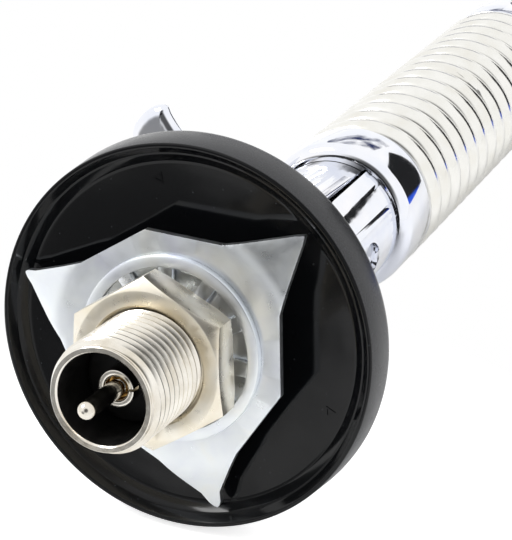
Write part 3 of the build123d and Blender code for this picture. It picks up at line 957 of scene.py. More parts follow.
front = ferrule_low.z
ferrule = turned(
    "contact_ferrule_ring",
    [
        (1.38, front + 1.6),
        (1.7, front + 1.5),
        (1.76, front + 1.3),
        (1.76, front + 0.35),
        (1.95, front + 0.05),
        (2.05, front),
        (2.6, front),
        (2.72, front + 0.05),
        (2.75, front + 0.2),
        (2.75, front + 3.0),
        (2.75, ferrule_high.z),
        (1.38, ferrule_high.z),
        (1.38, front + 1.6),
    ],
    96,
)
slit = block("ferrule_slit", (1.4, 0.42, 2.2), (2.5, 0, front + 0.6))
slit.data.transform(Matrix.Rotation(radians(-14), 4, "Z"))
cut(ferrule, slit)
smooth(ferrule)
fit(ferrule, nickel, "nickel_plating", "base", "contact_ferrule")
ferrule.data.materials.append(brass)
for face in ferrule.data.polygons:
    if face.center.xy.length < 1.8 * MM and face.center.z > (front + 0.3) * MM:
        face.material_index = 1

pin_radius = 1.32
pin_outline = [(0.02, pin_low.z)]
pin_outline += [
    (pin_radius * cos(radians(a)), pin_low.z + pin_radius * (1 + sin(radians(a))))
    for a in range(-84, 1, 7)
]
pin_outline += [
    (pin_radius, front + 0.1),
    (1.14, front + 0.25),
    (1.14, front + 0.6),
    (1.3, front + 0.75),
    (1.3, pin_high.z),
    (0.02, pin_high.z),
    (0.02, pin_low.z),
]
pin = turned("domed_pin", pin_outline, 64)
smooth(pin, 40)
fit(pin, nickel, "nickel_plating", "base", "centre_pin")

# %% [markdown]
# ## Claw plate
# The real plate is stamped: a three-pointed star with concave sides whose
# claws turn up to bite the panel. A dished round plate is turned first, then a
# star-shaped punch keeps what is inside its outline, as the press does.

# %% Claw plate
claw_angles = [65, 185, 305]
tip_reach = {65: 26.5, 185: 26.8, 305: 27.0}
tip_half_width = {65: 1.1, 185: 0.7, 305: 0.35}
sheet = 1.2
dish_low = plate_low.z
plate = turned(
    "stamped_claw_plate",
    [
        (8.6, dish_low),
        (17.5, dish_low),
        (18.6, dish_low + 0.03),
        (19.6, dish_low + 0.16),
        (20.6, dish_low + 0.42),
        (27.05, dish_low + 2.93),
        (27.05, dish_low + 2.93 + sheet),
        (20.6, dish_low + 0.42 + sheet),
        (19.6, dish_low + 0.16 + sheet),
        (18.6, dish_low + 0.03 + sheet),
        (17.5, dish_low + sheet),
        (8.6, dish_low + sheet),
        (8.6, dish_low),
    ],
    192,
)


def around(radius, angle, aside=0.0):
    """A flat point at a radius and an angle in degrees, moved aside along the circle in mm."""
    turn = radians(angle)
    return Vector((radius * cos(turn) - aside * sin(turn), radius * sin(turn) + aside * cos(turn)))


star = []
for claw in claw_angles:
    reach = tip_reach[claw]
    half = tip_half_width[claw]
    star.append(around(18.1, claw - 60))
    star.append(around(18.5, claw - 20.6))
    star.append(around(reach - 2.6 * half, claw, -half - 0.45))
    star.append(around(reach - 0.9 * half, claw, -0.85 * half))
    star.append(around(reach - 0.25 * half, claw, -0.4 * half))
    star.append(around(reach, claw))
    star.append(around(reach - 0.25 * half, claw, 0.4 * half))
    star.append(around(reach - 0.9 * half, claw, 0.85 * half))
    star.append(around(reach - 2.6 * half, claw, half + 0.45))
    star.append(around(18.5, claw + 20.6))
bpy.ops.object.select_all(action="DESELECT")
bpy.ops.mesh.primitive_circle_add(vertices=len(star), radius=20 * MM, fill_type="NGON")
punch = name_piece("star_punch")
punch_low = -8
punch_height = 12
for vertex, point in zip(punch.data.vertices, star):
    vertex.co = (point.x * MM, point.y * MM, punch_low * MM)
bpy.ops.object.mode_set(mode="EDIT")
bpy.ops.mesh.select_all(action="SELECT")
bpy.ops.mesh.extrude_region_move(TRANSFORM_OT_translate={"value": (0, 0, punch_height * MM)})
bpy.ops.mesh.select_all(action="SELECT")
bpy.ops.mesh.normals_make_consistent(inside=False)
bpy.ops.object.mode_set(mode="OBJECT")
cut(plate, punch, "INTERSECT")
break_edges(plate, 0.22, 3, 50)
smooth(plate, 30)
fit(plate, zinc, "zinc_plating", "clamp_plate", "claw_plate")

# %% [markdown]
# ## Lock washer
# An internal tooth washer: a flat ring whose teeth are twisted out of its
# plane. One tooth is a small box grown inwards face by face, each step turned
# a little more, then copied round the ring.

# %% Tooth lock washer
ring_outer = 14.4
ring_inner = 12.6
tooth_count = 11
first_tooth = -5.0
tooth_root = ring_inner - 0.2
tooth_tip = 8.75
tooth_twist = 5.6
ring_top = plate_low.z - 0.05
ring_low = ring_top - 1.2
ring = turned(
    "washer_ring",
    [
        (ring_inner, ring_low + 0.1),
        (ring_inner + 0.1, ring_low),
        (ring_outer - 0.35, ring_low),
        (ring_outer - 0.1, ring_low + 0.1),
        (ring_outer, ring_low + 0.35),
        (ring_outer, ring_top),
        (ring_inner, ring_top),
        (ring_inner, ring_low + 0.1),
    ],
    160,
)
tooth_level = ring_low + 0.55
tooth = block("washer_tooth", (0.9, 2.3, 0.95), (ring_inner + 0.25, 0, tooth_level))
bpy.ops.object.mode_set(mode="EDIT")
bpy.ops.mesh.select_mode(type="FACE")
bpy.ops.mesh.select_all(action="DESELECT")
tooth_mesh = bmesh.from_edit_mesh(tooth.data)
inner_face = min(tooth_mesh.faces, key=lambda f: f.calc_center_median().x)
inner_face.select_set(True)
bmesh.update_edit_mesh(tooth.data)
steps = 6
reach_in = tooth_root - tooth_tip
for step in range(steps):
    bpy.ops.mesh.extrude_region_move(
        TRANSFORM_OT_translate={"value": (-reach_in / steps * MM, 0, 0)}
    )
    at = mm(tooth_root - reach_in * (step + 1) / steps, 0, tooth_level)
    bpy.ops.transform.rotate(value=radians(tooth_twist), orient_axis="X", center_override=at)
    bpy.ops.transform.resize(value=(1, 1.012, 0.985), center_override=at)
bpy.ops.object.mode_set(mode="OBJECT")
break_edges(tooth, 0.14, 2, 50)
teeth = []
for number in range(tooth_count):
    copy = tooth.copy()
    copy.data = tooth.data.copy()
    scene.collection.objects.link(copy)
    copy_turn = radians(first_tooth + 360 / tooth_count * number)
    copy.data.transform(Matrix.Rotation(copy_turn, 4, "Z"))
    teeth.append(copy)
bpy.data.objects.remove(tooth)
lock_washer = join("tooth_washer", [ring, *teeth])
smooth(lock_washer, 32)
fit(lock_washer, zinc, "zinc_plating", "clamp_plate", "tooth_lock_washer")

# %% [markdown]
# ## Mounting nut
# Hexagon stock, 23 mm across flats, turned back at both ends: the arcs where
# the cone meets the flats come by themselves when the bar is cut with a turned
# body. The mouth of the bore is countersunk.

# %% Mounting nut
across_flats = 23.0
nut_turn = 16.0
nut_front = nut_low.z
nut_back = nut_front + 5.4
corner = across_flats / sqrt(3)
nut = rod("hexagon_nut", corner, nut_front, nut_back, 6, radians(nut_turn + 30))
nut_body = turned(
    "nut_body",
    [
        (8.56, nut_front + 0.62),
        (9.15, nut_front + 0.02),
        (9.25, nut_front),
        (11.25, nut_front),
        (11.45, nut_front + 0.06),
        (corner + 0.05, nut_front + 1.02),
        (corner + 0.05, nut_back - 0.5),
        (12.3, nut_back),
        (8.56, nut_back),
        (8.56, nut_front + 0.62),
    ],
    160,
)
cut(nut, nut_body, "INTERSECT")
break_edges(nut, 0.16, 2, 28)
smooth(nut, 20)
fit(nut, nut_nickel, "nickel_plating", "nut", "mounting_nut")

# %% [markdown]
# ## Lower knuckle
# A chromed casting with a round foot, a column and one cheek. It is turned,
# then machined as the foundry's pattern was: the half above the shelf is cut
# away except for the cheek, whose upright edges are well rounded, and the
# crown is rounded about the hinge so that the upper part can fold over it.

# %% Lower knuckle
shelf = pivot_height - 11.6
cheek_top = pivot_height + 11.3
cheek_face = 3.4
column_radius = 12.2
SIDE = Matrix.Translation(pivot) @ Matrix.Rotation(radians(-90), 4, "Y")
column = turned(
    "knuckle_column",
    [
        (2.06, 13.85),
        (13.6, 13.85),
        (13.9, 13.95),
        (14.0, 14.2),
        (14.0, 16.2),
        (13.85, 16.6),
        (13.5, 17.0),
        (12.8, 18.6),
        (12.35, 19.6),
        (column_radius, 20.6),
        (column_radius, shelf - 0.6),
        (column_radius - 0.15, shelf - 0.18),
        (column_radius - 0.6, shelf),
        (2.06, shelf),
        (2.06, 13.85),
    ],
    128,
)
cheek = rod("cheek", column_radius, shelf - 3, cheek_top, 128)
cheek_cutter = block("cheek_cutter", (40, 40, 60), (cheek_face + 20, 0, 50))
cut(cheek, cheek_cutter)
round_uprights(cheek, cheek_face, 3.0, 10)
crown_waste = block("crown_waste", (40, 20, 20), (0, 10, pivot_height + 10))
crown = rod("crown", 11.3, -30, 30, 128)
place(crown, SIDE)
cut(crown_waste, crown)
cut(cheek, crown_waste)
seat_cutter = rod("seat_cutter", 8.6, 11.8, 20, 96)
place(seat_cutter, SIDE)
cut(cheek, seat_cutter)
cut(column, cheek, "UNION")
bolt_cutter = rod("bolt_cutter", 4.08, -30, 30, 64)
place(bolt_cutter, SIDE)
cut(column, bolt_cutter)
key = block("square_key", (12, 12, 2.4), (0, 0, 12.65))
key_bore = rod("key_bore", 2.06, 10, 20, 48)
cut(key, key_bore)
break_edges(key, 0.2, 2, 50)
break_edges(column, 0.35, 3, 35)
lower_knuckle = join("hinge_knuckle", [column, key])
smooth(lower_knuckle, 40)
fit(lower_knuckle, chrome, "chrome_casting", "base", "lower_knuckle")

# %% [markdown]
# ## Upper knuckle
# The ear stands beside the cheek, and above it a broad collar with a well
# rounded lower edge carries the spring. It is made along its own leaning axis
# and put in place at the end.

# %% Upper knuckle
ear_face = 3.8
ear_radius = 11.7
collar_foot = 12.5
collar_radius = 14.0
collar_round = 2.2
collar_top = 24.2
spigot_length = 12
collar_outline = [(2.3, collar_foot)]
collar_outline += [(collar_radius - collar_round, collar_foot)]
collar_outline += arc_points(
    collar_radius - collar_round, collar_foot + collar_round, collar_round, -80, 0, 8
)
collar_outline += [
    (collar_radius, collar_top - 0.75),
    (collar_radius - 0.12, collar_top - 0.3),
    (collar_radius - 0.5, collar_top),
    (8.5, collar_top),
    (8.5, collar_top + 11.4),
    (8.0, collar_top + spigot_length),
    (3.6, collar_top + spigot_length),
    (2.8, collar_top + 9.5),
    (2.3, collar_top + 7.2),
    (2.3, collar_foot),
]
collar = turned("knuckle_collar", collar_outline, 160)
ear = rod("ear", ear_radius, -11.4, collar_foot + 1.5, 128)
ear_cutter = block("ear_cutter", (40, 40, 60), (ear_face - 20, 0, 0))
cut(ear, ear_cutter)
round_uprights(ear, ear_face, 5.2, 12)
ACROSS = Matrix.Rotation(radians(-90), 4, "Y")
ear_waste = block("ear_waste", (60, 60, 30), (0, 0, -15))
ear_round = rod("ear_round", 11.4, -40, 40, 128)
place(ear_round, ACROSS)
cut(ear_waste, ear_round)
cut(ear, ear_waste)
cut(collar, ear, "UNION")
ear_bore = rod("ear_bore", 4.06, -30, 0, 64)
place(ear_bore, ACROSS)
cut(collar, ear_bore)
break_edges(collar, 0.5, 3, 35)
place(collar, UPPER)
smooth(collar, 40)
fit(collar, chrome, "chrome_casting", "hinge_head", "upper_knuckle")

# %% [markdown]
# ## Washers and wing bolt
# The plain and the split washer lie under the hub. They turn about the bolt,
# so they are made upright and laid on its axis.

# %% Washers
flat_inner = 11.85
flat_outer = flat_inner + 1.3
plain_washer = turned(
    "plain_washer",
    [
        (4.2, flat_inner),
        (8.0, flat_inner),
        (8.2, flat_inner + 0.2),
        (8.2, flat_outer - 0.35),
        (8.1, flat_outer - 0.1),
        (7.85, flat_outer),
        (4.35, flat_outer),
        (4.2, flat_outer - 0.15),
        (4.2, flat_inner),
    ],
    96,
)
place(plain_washer, SIDE)
smooth(plain_washer)
fit(plain_washer, chrome, "chrome_steel", "bolt_washers", "flat_washer")
spring_washer = turned(
    "split_spring_washer",
    [
        (4.2, flat_outer),
        (6.85, flat_outer),
        (7.0, flat_outer + 0.15),
        (7.0, flat_outer + 1.05),
        (6.85, flat_outer + 1.25),
        (4.35, flat_outer + 1.25),
        (4.2, flat_outer + 1.1),
        (4.2, flat_outer),
    ],
    96,
)
split = block("split", (6, 0.8, 4), (6, 0, flat_outer + 0.7))
split.data.transform(Matrix.Rotation(radians(20), 4, "Z"))
cut(spring_washer, split)
place(spring_washer, SIDE)
smooth(spring_washer)
fit(spring_washer, steel, "chrome_steel", "bolt_washers", "split_washer")

# %% [markdown]
# The wings are cast: thick in the middle, thin at the edge. A flat outline is
# given its thickness, inset and raised twice on each side, and a subdivision
# surface melts it into a lens. The second wing is the first one mirrored.

# %% Wing bolt
hub_face = flat_outer + 1.4
hub_end = hub_face + 10
hub = turned(
    "wing_hub",
    [
        (0.02, -10.4),
        (3.4, -10.4),
        (4.0, -9.8),
        (4.0, hub_face),
        (6.3, hub_face),
        (6.6, hub_face + 0.3),
        (6.6, hub_face + 2.5),
        (6.45, hub_face + 3.0),
        (5.9, hub_face + 4.5),
        (5.4, hub_face + 7.5),
        (5.2, hub_end - 1.6),
        (5.0, hub_end - 0.9),
        (4.5, hub_end - 0.35),
        (3.7, hub_end),
        (0.02, hub_end),
        (0.02, -10.4),
    ],
    96,
)
place(hub, SIDE)
wing_outline = [
    (-17.4, 1.0),
    (-17.6, 5.2),
    (-19.6, 7.2),
    (-23.5, 10.2),
    (-27.4, 13.2),
    (-28.9, 14.7),
    (-29.8, 15.6),
    (-30.2, 16.6),
    (-31.6, 16.4),
    (-33.0, 15.6),
    (-34.2, 14.4),
    (-35.3, 12.6),
    (-35.95, 10.8),
    (-36.05, 9.2),
    (-35.3, 7.2),
    (-33.6, 5.2),
    (-30.5, 3.6),
    (-26.5, 2.2),
    (-22.0, 1.0),
]
bpy.ops.object.select_all(action="DESELECT")
bpy.ops.mesh.primitive_circle_add(vertices=len(wing_outline), radius=5 * MM, fill_type="NGON")
wing = name_piece("wing")
web = 1.1
for vertex, (x, y) in zip(wing.data.vertices, wing_outline):
    vertex.co = mm(x, -y, pivot_height - web / 2)
bpy.ops.object.mode_set(mode="EDIT")
bpy.ops.mesh.select_mode(type="FACE")
bpy.ops.mesh.select_all(action="SELECT")
bpy.ops.mesh.extrude_region_move(TRANSFORM_OT_translate={"value": (0, 0, web * MM)})
bpy.ops.mesh.select_all(action="SELECT")
bpy.ops.mesh.normals_make_consistent(inside=False)
for side in (1, -1):
    bpy.ops.mesh.select_all(action="DESELECT")
    wing_mesh = bmesh.from_edit_mesh(wing.data)
    for face in wing_mesh.faces:
        if face.normal.z * side > 0.9:
            face.select_set(True)
    bmesh.update_edit_mesh(wing.data)
    bpy.ops.mesh.inset(thickness=0.75 * MM, depth=0.75 * MM)
    bpy.ops.mesh.inset(thickness=1.1 * MM, depth=0.4 * MM)
bpy.ops.object.mode_set(mode="OBJECT")
melt = wing.modifiers.new("melt", "SUBSURF")
melt.levels = 2
melt.render_levels = 2
select_only(wing)
bpy.ops.object.modifier_apply(modifier=melt.name)
other_wing = wing.copy()
other_wing.data = wing.data.copy()
scene.collection.objects.link(other_wing)
other_wing.data.transform(Matrix.Diagonal((1, -1, 1, 1)))
other_wing.data.flip_normals()
wing_bolt = join("cast_wing_bolt", [hub, wing, other_wing])
smooth(wing_bolt, 45)
fit(wing_bolt, chrome, "chrome_casting", "wing", "wing_bolt")

# %% [markdown]
# ## Spring
# Fourteen turns of 5.4 mm wire, wound nearly solid. It starts a little low and
# has spare turns, and both ends are cut flat as a grinder does. The antenna
# bends in two joints, one in each half of the coil, and the coil is cut in the
# middle into two halves.

# %% Spring
wire_radius = 2.7
coil_radius = 11.4
coil_pitch = 5.7
coil_turns = 14
spare_turns = 3
ground_off = 3
coil_gap = 0.05
cup_foot = 109.4
coil_low = collar_top + coil_gap
coil_high = cup_foot - coil_gap
coil_middle = 66.8


def wound_wire(name, start, end):
    """One stretch of the coil in mm along the upper axis, cut flat at both ends."""
    bpy.ops.object.select_all(action="DESELECT")
    bpy.ops.mesh.primitive_circle_add(
        vertices=28,
        radius=wire_radius * MM,
        location=mm(coil_radius, 0, coil_low - ground_off - wire_radius),
        rotation=(radians(90), 0, 0),
    )
    coil = name_piece(name)
    bpy.ops.object.transform_apply(location=True, rotation=True, scale=True)
    wind(coil, coil_pitch, coil_turns + spare_turns, 72, 0.001)
    bpy.ops.object.mode_set(mode="EDIT")
    for height, clear_below in ((start, True), (end, False)):
        bpy.ops.mesh.select_all(action="SELECT")
        bpy.ops.mesh.bisect(
            plane_co=mm(0, 0, height),
            plane_no=(0, 0, 1),
            use_fill=True,
            clear_inner=clear_below,
            clear_outer=not clear_below,
        )
    bpy.ops.object.mode_set(mode="OBJECT")
    place(coil, UPPER)
    smooth(coil, 45)
    coil.data.materials.append(wire_nickel)
    return coil


lower_coil = wound_wire("spring_lower_half", coil_low, coil_middle)
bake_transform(lower_coil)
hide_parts("spring")
upper_coil = wound_wire("spring_upper_half", coil_middle, coil_high)
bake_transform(upper_coil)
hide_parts("spring")
print("spring", len(lower_coil.data.polygons) + len(upper_coil.data.polygons), "faces")

# %% [markdown]
# A copper braid runs inside the spring and carries the current past it. It is
# soft: a bar of many short lengths, in two halves that meet at the coil's
# middle, each held in a socket at its far end.


# %% Ground braid
braid_radius = 2.2
braid_links = 24
braid_held = 5
braid_low = coil_low + spigot_length - braid_held + coil_gap
braid_high = coil_high - spigot_length + braid_held - coil_gap


def braid_length(name, low, high):
    """One half of the braid as a bar in mm, cut across often enough to bend."""
    braid = rod(name, braid_radius, low, high, 32)
    bpy.ops.object.mode_set(mode="EDIT")
    for link in range(1, braid_links):
        cut_height = low + (high - low) * link / braid_links
        bpy.ops.mesh.select_all(action="SELECT")
        bpy.ops.mesh.bisect(plane_co=mm(0, 0, cut_height), plane_no=(0, 0, 1))
    bpy.ops.object.mode_set(mode="OBJECT")
    place(braid, UPPER)
    smooth(braid, 45)
    braid.data.materials.append(copper)
    return braid


lower_braid = braid_length("ground_braid_lower", braid_low, coil_middle)
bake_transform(lower_braid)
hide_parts("ground_braid")
upper_braid = braid_length("ground_braid_upper", coil_middle, braid_high)
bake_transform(upper_braid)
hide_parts("ground_braid")
print("braid", len(lower_braid.data.polygons) + len(upper_braid.data.polygons), "faces")

# %% [markdown]
# ## Cup, screws and ferrule
# The cup closes the spring above, and two socket screws in it clamp the
# ferrule of the whip. The ferrule's neck is crimped on the rod.

# %% Cup and ferrule
cup_wall = 11.7
cup_dome = 8.5
cup_top = cup_foot + cup_wall + cup_dome
cup_outline = [
    (3.6, cup_foot - spigot_length),
    (8.0, cup_foot - spigot_length),
    (8.5, cup_foot - 11.4),
    (8.5, cup_foot),
    (13.5, cup_foot),
    (13.88, cup_foot + 0.25),
    (14.0, cup_foot + 0.7),
    (14.0, cup_foot + 11.2),
    (13.85, cup_foot + 12.4),
    (13.4, cup_foot + 13.6),
    (12.6, cup_foot + 15.0),
    (11.3, cup_foot + 16.6),
    (9.6, cup_foot + 18.2),
    (7.6, cup_foot + 19.6),
    (6.9, cup_foot + 19.95),
    (6.4, cup_top),
    (4.06, cup_top),
    (4.06, cup_top - 14),
    (2.3, cup_top - 14),
    (2.3, cup_foot - 7.2),
    (2.8, cup_foot - 9.5),
    (3.6, cup_foot - spigot_length),
]
cup = turned("spring_cup", cup_outline, 128)
screw_height = cup_foot + cup_wall - 3.5
screw_bore = rod("screw_bore", 2.06, -30, 30, 48)
screw_bore.data.transform(Matrix.Rotation(radians(90), 4, "X"))
screw_bore.data.transform(Matrix.Translation(mm(0, 0, screw_height)))
cut(cup, screw_bore)
break_edges(cup, 0.12, 2, 50)
place(cup, UPPER)
smooth(cup, 35)
fit(cup, chrome, "chrome_casting", "whip", "upper_cup")

grub_screws = []
for side in (1, -1):
    screw = turned(
        "socket_screw",
        [
            (0.02, 4.1),
            (1.9, 4.1),
            (2.0, 4.3),
            (2.0, 13.2),
            (1.85, 13.4),
            (0.02, 13.4),
            (0.02, 4.1),
        ],
        48,
    )
    hexagon = rod("hexagon", 1.15, 11.4, 15, 6)
    cut(screw, hexagon)
    screw.data.transform(Matrix.Rotation(radians(90 * side), 4, "X"))
    screw.data.transform(Matrix.Translation(mm(0, 0, screw_height)))
    grub_screws.append(screw)
screws = join("socket_screws", grub_screws)
place(screws, UPPER)
smooth(screws, 30)
fit(screws, steel, "steel_plain", "whip", "set_screws")

ferrule_top = cup_top + 20
whip_ferrule = turned(
    "crimped_ferrule",
    [
        (2.06, cup_top - 13.9),
        (3.8, cup_top - 13.9),
        (4.0, cup_top - 13.7),
        (4.0, cup_top + 0.05),
        (5.0, cup_top + 0.05),
        (5.2, cup_top + 0.25),
        (5.2, ferrule_top - 6.3),
        (5.1, ferrule_top - 5.9),
        (4.3, ferrule_top - 4.2),
        (4.2, ferrule_top - 3.8),
        (4.2, ferrule_top - 2.8),
        (3.95, ferrule_top - 2.5),
        (3.95, ferrule_top - 2.1),
        (4.2, ferrule_top - 1.8),
        (4.2, ferrule_top - 0.2),
        (4.05, ferrule_top),
        (2.06, ferrule_top),
        (2.06, cup_top - 13.9),
    ],
    96,
)
place(whip_ferrule, UPPER)
smooth(whip_ferrule, 35)
fit(whip_ferrule, nickel, "nickel_plating", "whip", "whip_ferrule")

# %% [markdown]
# ## Whip
# Wire is wound on a glass fibre rod and shrunk under a black sleeve, so the
# turns show through as a low, slow ridge. It is a real ridge, not a bump, for
# the sleeve's outline shows it too.

# %% Sleeve and cap
sleeve_radius = 3.2
sleeve = turned(
    "shrunk_sleeve",
    [
        (2.5, sleeve_low.z),
        (sleeve_radius - 0.15, sleeve_low.z),
        (sleeve_radius, sleeve_low.z + 0.2),
        (sleeve_radius, sleeve_high.z),
        (2.5, sleeve_high.z),
        (2.5, sleeve_low.z),
    ],
    48,
)
ridge_pitch = 4.0
ridge_length = 225
ridge_start = mm(sleeve_radius - 0.22, 0, sleeve_low.z + 12)
bpy.ops.object.select_all(action="DESELECT")
bpy.ops.mesh.primitive_circle_add(
    vertices=10, radius=0.4 * MM, location=ridge_start, rotation=(radians(90), 0, 0)
)
ridge = name_piece("winding_ridge")
bpy.ops.object.transform_apply(location=True, rotation=True, scale=True)
bpy.ops.object.mode_set(mode="EDIT")
bpy.ops.mesh.select_all(action="SELECT")
bpy.ops.transform.resize(value=(1, 1, 2.4), center_override=ridge_start)
bpy.ops.object.mode_set(mode="OBJECT")
wind(ridge, ridge_pitch, int(ridge_length / ridge_pitch), 32, 0.0005)
sleeve = join("whip_sleeve_shrunk", [sleeve, ridge])
place(sleeve, UPPER)
smooth(sleeve, 40)
fit(sleeve, sleeve_black, "sleeve_black", "whip", "whip_sleeve")

cap_radius = 4.4
cap_bore = 3.26
cap_outline = [
    (cap_bore, cap_low.z),
    (4.15, cap_low.z),
    (4.35, cap_low.z + 0.1),
    (cap_radius, cap_low.z + 0.4),
]
for angle in range(0, 91, 9):
    rise = cap_radius * sin(radians(angle))
    cap_outline += [(cap_radius * cos(radians(angle)) + 0.01, cap_high.z - cap_radius + rise)]
cap_outline += [(0.01, cap_low.z + 6.1), (cap_bore, cap_low.z + 6.1), (cap_bore, cap_low.z)]
cap = turned("tip_cap_moulded", cap_outline, 64)
place(cap, UPPER)
smooth(cap, 40)
fit(cap, rubber, "sleeve_black", "whip", "tip_cap")

# %% [markdown]
# ## Parts that stay as packed
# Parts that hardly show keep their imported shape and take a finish.

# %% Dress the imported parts
for node_name, finish in (
    ("flange_gasket", rubber),
    ("knuckle_seal", rubber),
    ("neck_insulator", phenolic_and_bore_shade),
    ("friction_disc", phenolic_and_bore_shade),
    ("feed_nut", brass),
    ("feed_rod", brass),
    ("fibreglass_rod", glass_fibre),
    ("wire_winding", copper),
):
    for material_slot in frame["nodes"][node_name].material_slots:
        material_slot.material = finish
    print(node_name, finish.name)

# %% [markdown]
# ## Light
# A high-key table: the room is white all round, apart from two dim patches, one
# where the camera stands and one low at the left, which the polished disc
# mirrors. Metal needs such patches before it reads as metal. Seen directly,
# all is white.

# %% Room
world = bpy.data.worlds.new("studio")
scene.world = world
world.use_nodes = True
room = world.node_tree
room_white = 1.06
direction = add_node(room, "ShaderNodeTexCoord").outputs["Generated"]


def dim_spot(name, right, up, back, edge, core, low):
    """A dim patch by the camera's directions, from the cosine of its edge to that of its core."""
    centre = (camera_right * right + camera_up * up + camera_back * back).normalized()
    toward = add_node(
        room,
        "ShaderNodeVectorMath",
        settings={"operation": "DOT_PRODUCT"},
        links={0: direction},
    )
    toward.inputs[1].default_value = centre
    level = add_node(
        room,
        "ShaderNodeMapRange",
        settings={"interpolation_type": "SMOOTHSTEP"},
        inputs={"From Min": edge, "From Max": core, "To Min": room_white, "To Max": low},
        links={"Value": toward.outputs["Value"]},
    )
    print(name, "level", low)
    return level.outputs["Result"]


low_left = dim_spot("low left", -0.70, -0.44, 0.56, 0.92, 0.985, 0.28)
camera_side = dim_spot("camera side", -0.15, -0.05, 0.98, 0.84, 0.975, 0.1)
room_level = add_node(
    room,
    "ShaderNodeMath",
    settings={"operation": "MULTIPLY"},
    links={0: low_left, 1: camera_side},
)
camera_ray = add_node(room, "ShaderNodeLightPath").outputs["Is Camera Ray"]
seen_level = add_node(
    room,
    "ShaderNodeMix",
    inputs={"B": 1.0},
    links={"Factor": camera_ray, "A": room_level.outputs["Value"]},
)
background = room.nodes["Background"]
background.inputs["Color"].default_value = (1, 1, 1, 1)
room.links.new(seen_level.outputs["Result"], background.inputs["Strength"])

# %% [markdown]
# One soft panel of 4 watts at the upper left puts the bright streak on the
# thread. It is placed by the view's own three directions, in metres from the
# antenna's base, as it would be set up beside a camera, and it faces the base.

# %% Soft panel
base_middle = mm(0, 0, 5)


def studio_point(right, up, back):
    """A point in metres from the base, to the view's right, upwards and towards the camera."""
    return base_middle + camera_right * right + camera_up * up + camera_back * back


panel_data = bpy.data.lights.new("panel_left", "AREA")
panel_data.shape = "RECTANGLE"
panel_data.size = 0.35
panel_data.size_y = 0.35
panel_data.energy = 4
panel = bpy.data.objects.new("panel_left", panel_data)
scene.collection.objects.link(panel)
panel.location = studio_point(-0.6, 0.6, 0.3)
panel.rotation_mode = "QUATERNION"
panel.rotation_quaternion = (panel.location - base_middle).to_track_quat("Z", "Y")
print("panel at", panel.location)

# %% [markdown]
# Two dark cards stand behind and above the antenna, out of sight. Each is seen
# only by mirror-like metal: one, black with a blue lower band, gives the
# collar its dark window, the other its soft dark-blue cloud.


# %% Dark cards
def card(name, place_at, width, height, colour):
    """A glowing card, sized in metres, that only reflections show, and its tree and shader."""
    bpy.ops.object.select_all(action="DESELECT")
    bpy.ops.mesh.primitive_plane_add(size=1)
    plane = name_piece(name)
    plane.scale = (width, height, 1)
    plane.location = place_at
    outward = (place_at - base_middle).normalized()
    across = camera_up.cross(outward).normalized()
    card_axes = Matrix((across, outward.cross(across), outward))
    plane.rotation_mode = "QUATERNION"
    plane.rotation_quaternion = card_axes.transposed().to_quaternion()
    plane.visible_camera = False
    plane.visible_diffuse = False
    plane.visible_shadow = False
    material, tree, shader = new_material(name, "#000000", 0, 1)
    shader.inputs["Emission Color"].default_value = linear(colour)
    shader.inputs["Emission Strength"].default_value = 1
    plane.data.materials.append(material)
    return tree, shader


window_place = studio_point(0.2196, 0.1274, -0.1818)
tree, shader = card("window_card", window_place, 0.12, 0.15, "#08090c")
where = add_node(tree, "ShaderNodeTexCoord").outputs["Object"]
height = add_node(tree, "ShaderNodeSeparateXYZ", links={"Vector": where}).outputs["Y"]
bands = add_node(
    tree,
    "ShaderNodeMapRange",
    inputs={"From Min": -0.5, "From Max": 0.5},
    links={"Value": height},
)
shades = add_node(tree, "ShaderNodeValToRGB", links={"Fac": bands.outputs["Result"]})
shades.color_ramp.elements[0].position = 0.12
shades.color_ramp.elements[0].color = linear("#2a5be0")
shades.color_ramp.elements[1].position = 0.18
shades.color_ramp.elements[1].color = linear("#08090c")
tree.links.new(shades.outputs["Color"], shader.inputs["Emission Color"])

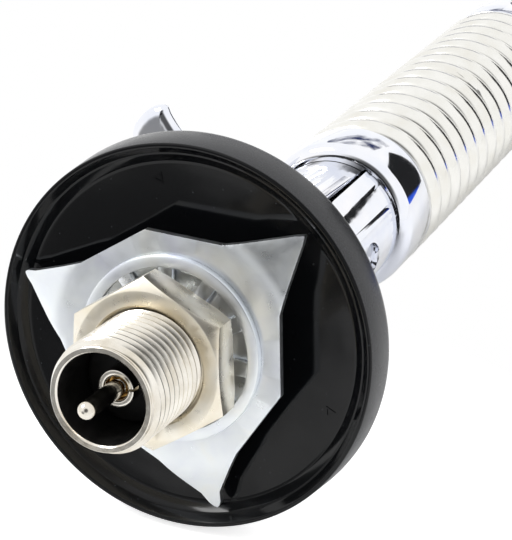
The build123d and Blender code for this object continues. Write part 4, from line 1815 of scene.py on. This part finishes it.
cloud_place = studio_point(0.07, 0.22, -0.24)
tree, shader = card("blue_cloud", cloud_place, 0.15, 0.06, "#24305c")
where = add_node(tree, "ShaderNodeTexCoord").outputs["Object"]
noise = add_node(
    tree, "ShaderNodeTexNoise", inputs={"Scale": 2.6, "Detail": 3}, links={"Vector": where}
)
edge = add_node(
    tree,
    "ShaderNodeMapRange",
    inputs={"From Min": 0.4, "From Max": 0.62},
    links={"Value": noise.outputs["Fac"]},
)
tree.links.new(edge.outputs["Result"], shader.inputs["Alpha"])
print("cards at", window_place, cloud_place)

# %% [markdown]
# The table is white laminate. Seen directly it also gives off a little light,
# which keeps it white while the antenna's own shadow still shows on it. Away
# from the disc the eye sees through it to the equally white room, so that it
# hides nothing when the whip is folded down past it. From behind it is clear
# all over. Both distances are in metres from where the disc touches it.

# %% White table
shadow_kept = 0.04
shadow_gone = 0.07
table_glow = 0.7
table_white, tree, shader = new_material("white_laminate", "#f4f4f4", 0, 0.55)
camera_ray = add_node(tree, "ShaderNodeLightPath").outputs["Is Camera Ray"]
lift = add_node(
    tree,
    "ShaderNodeMath",
    settings={"operation": "MULTIPLY"},
    links={0: camera_ray},
)
lift.inputs[1].default_value = table_glow
shader.inputs["Emission Color"].default_value = (1, 1, 1, 1)
tree.links.new(lift.outputs["Value"], shader.inputs["Emission Strength"])
geometry = add_node(tree, "ShaderNodeNewGeometry")
backside = geometry.outputs["Backfacing"]
from_contact = add_node(
    tree,
    "ShaderNodeVectorMath",
    settings={"operation": "DISTANCE"},
    links={0: geometry.outputs["Position"]},
)
from_contact.inputs[1].default_value = floor_point
beyond_disc = add_node(
    tree,
    "ShaderNodeMapRange",
    inputs={"From Min": shadow_kept, "From Max": shadow_gone},
    links={"Value": from_contact.outputs["Value"]},
)
seen_through = add_node(
    tree,
    "ShaderNodeMath",
    settings={"operation": "MULTIPLY"},
    links={0: beyond_disc.outputs["Result"], 1: camera_ray},
)
let_through = add_node(
    tree,
    "ShaderNodeMath",
    settings={"operation": "MAXIMUM"},
    links={0: backside, 1: seen_through.outputs["Value"]},
)
clear = add_node(tree, "ShaderNodeBsdfTransparent")
both = add_node(
    tree,
    "ShaderNodeMixShader",
    links={0: let_through.outputs["Value"], 1: shader.outputs["BSDF"], 2: clear.outputs["BSDF"]},
)
tree.links.new(both.outputs["Shader"], tree.nodes["Material Output"].inputs["Surface"])
floor.data.materials.append(table_white)
scene.view_settings.view_transform = "Standard"
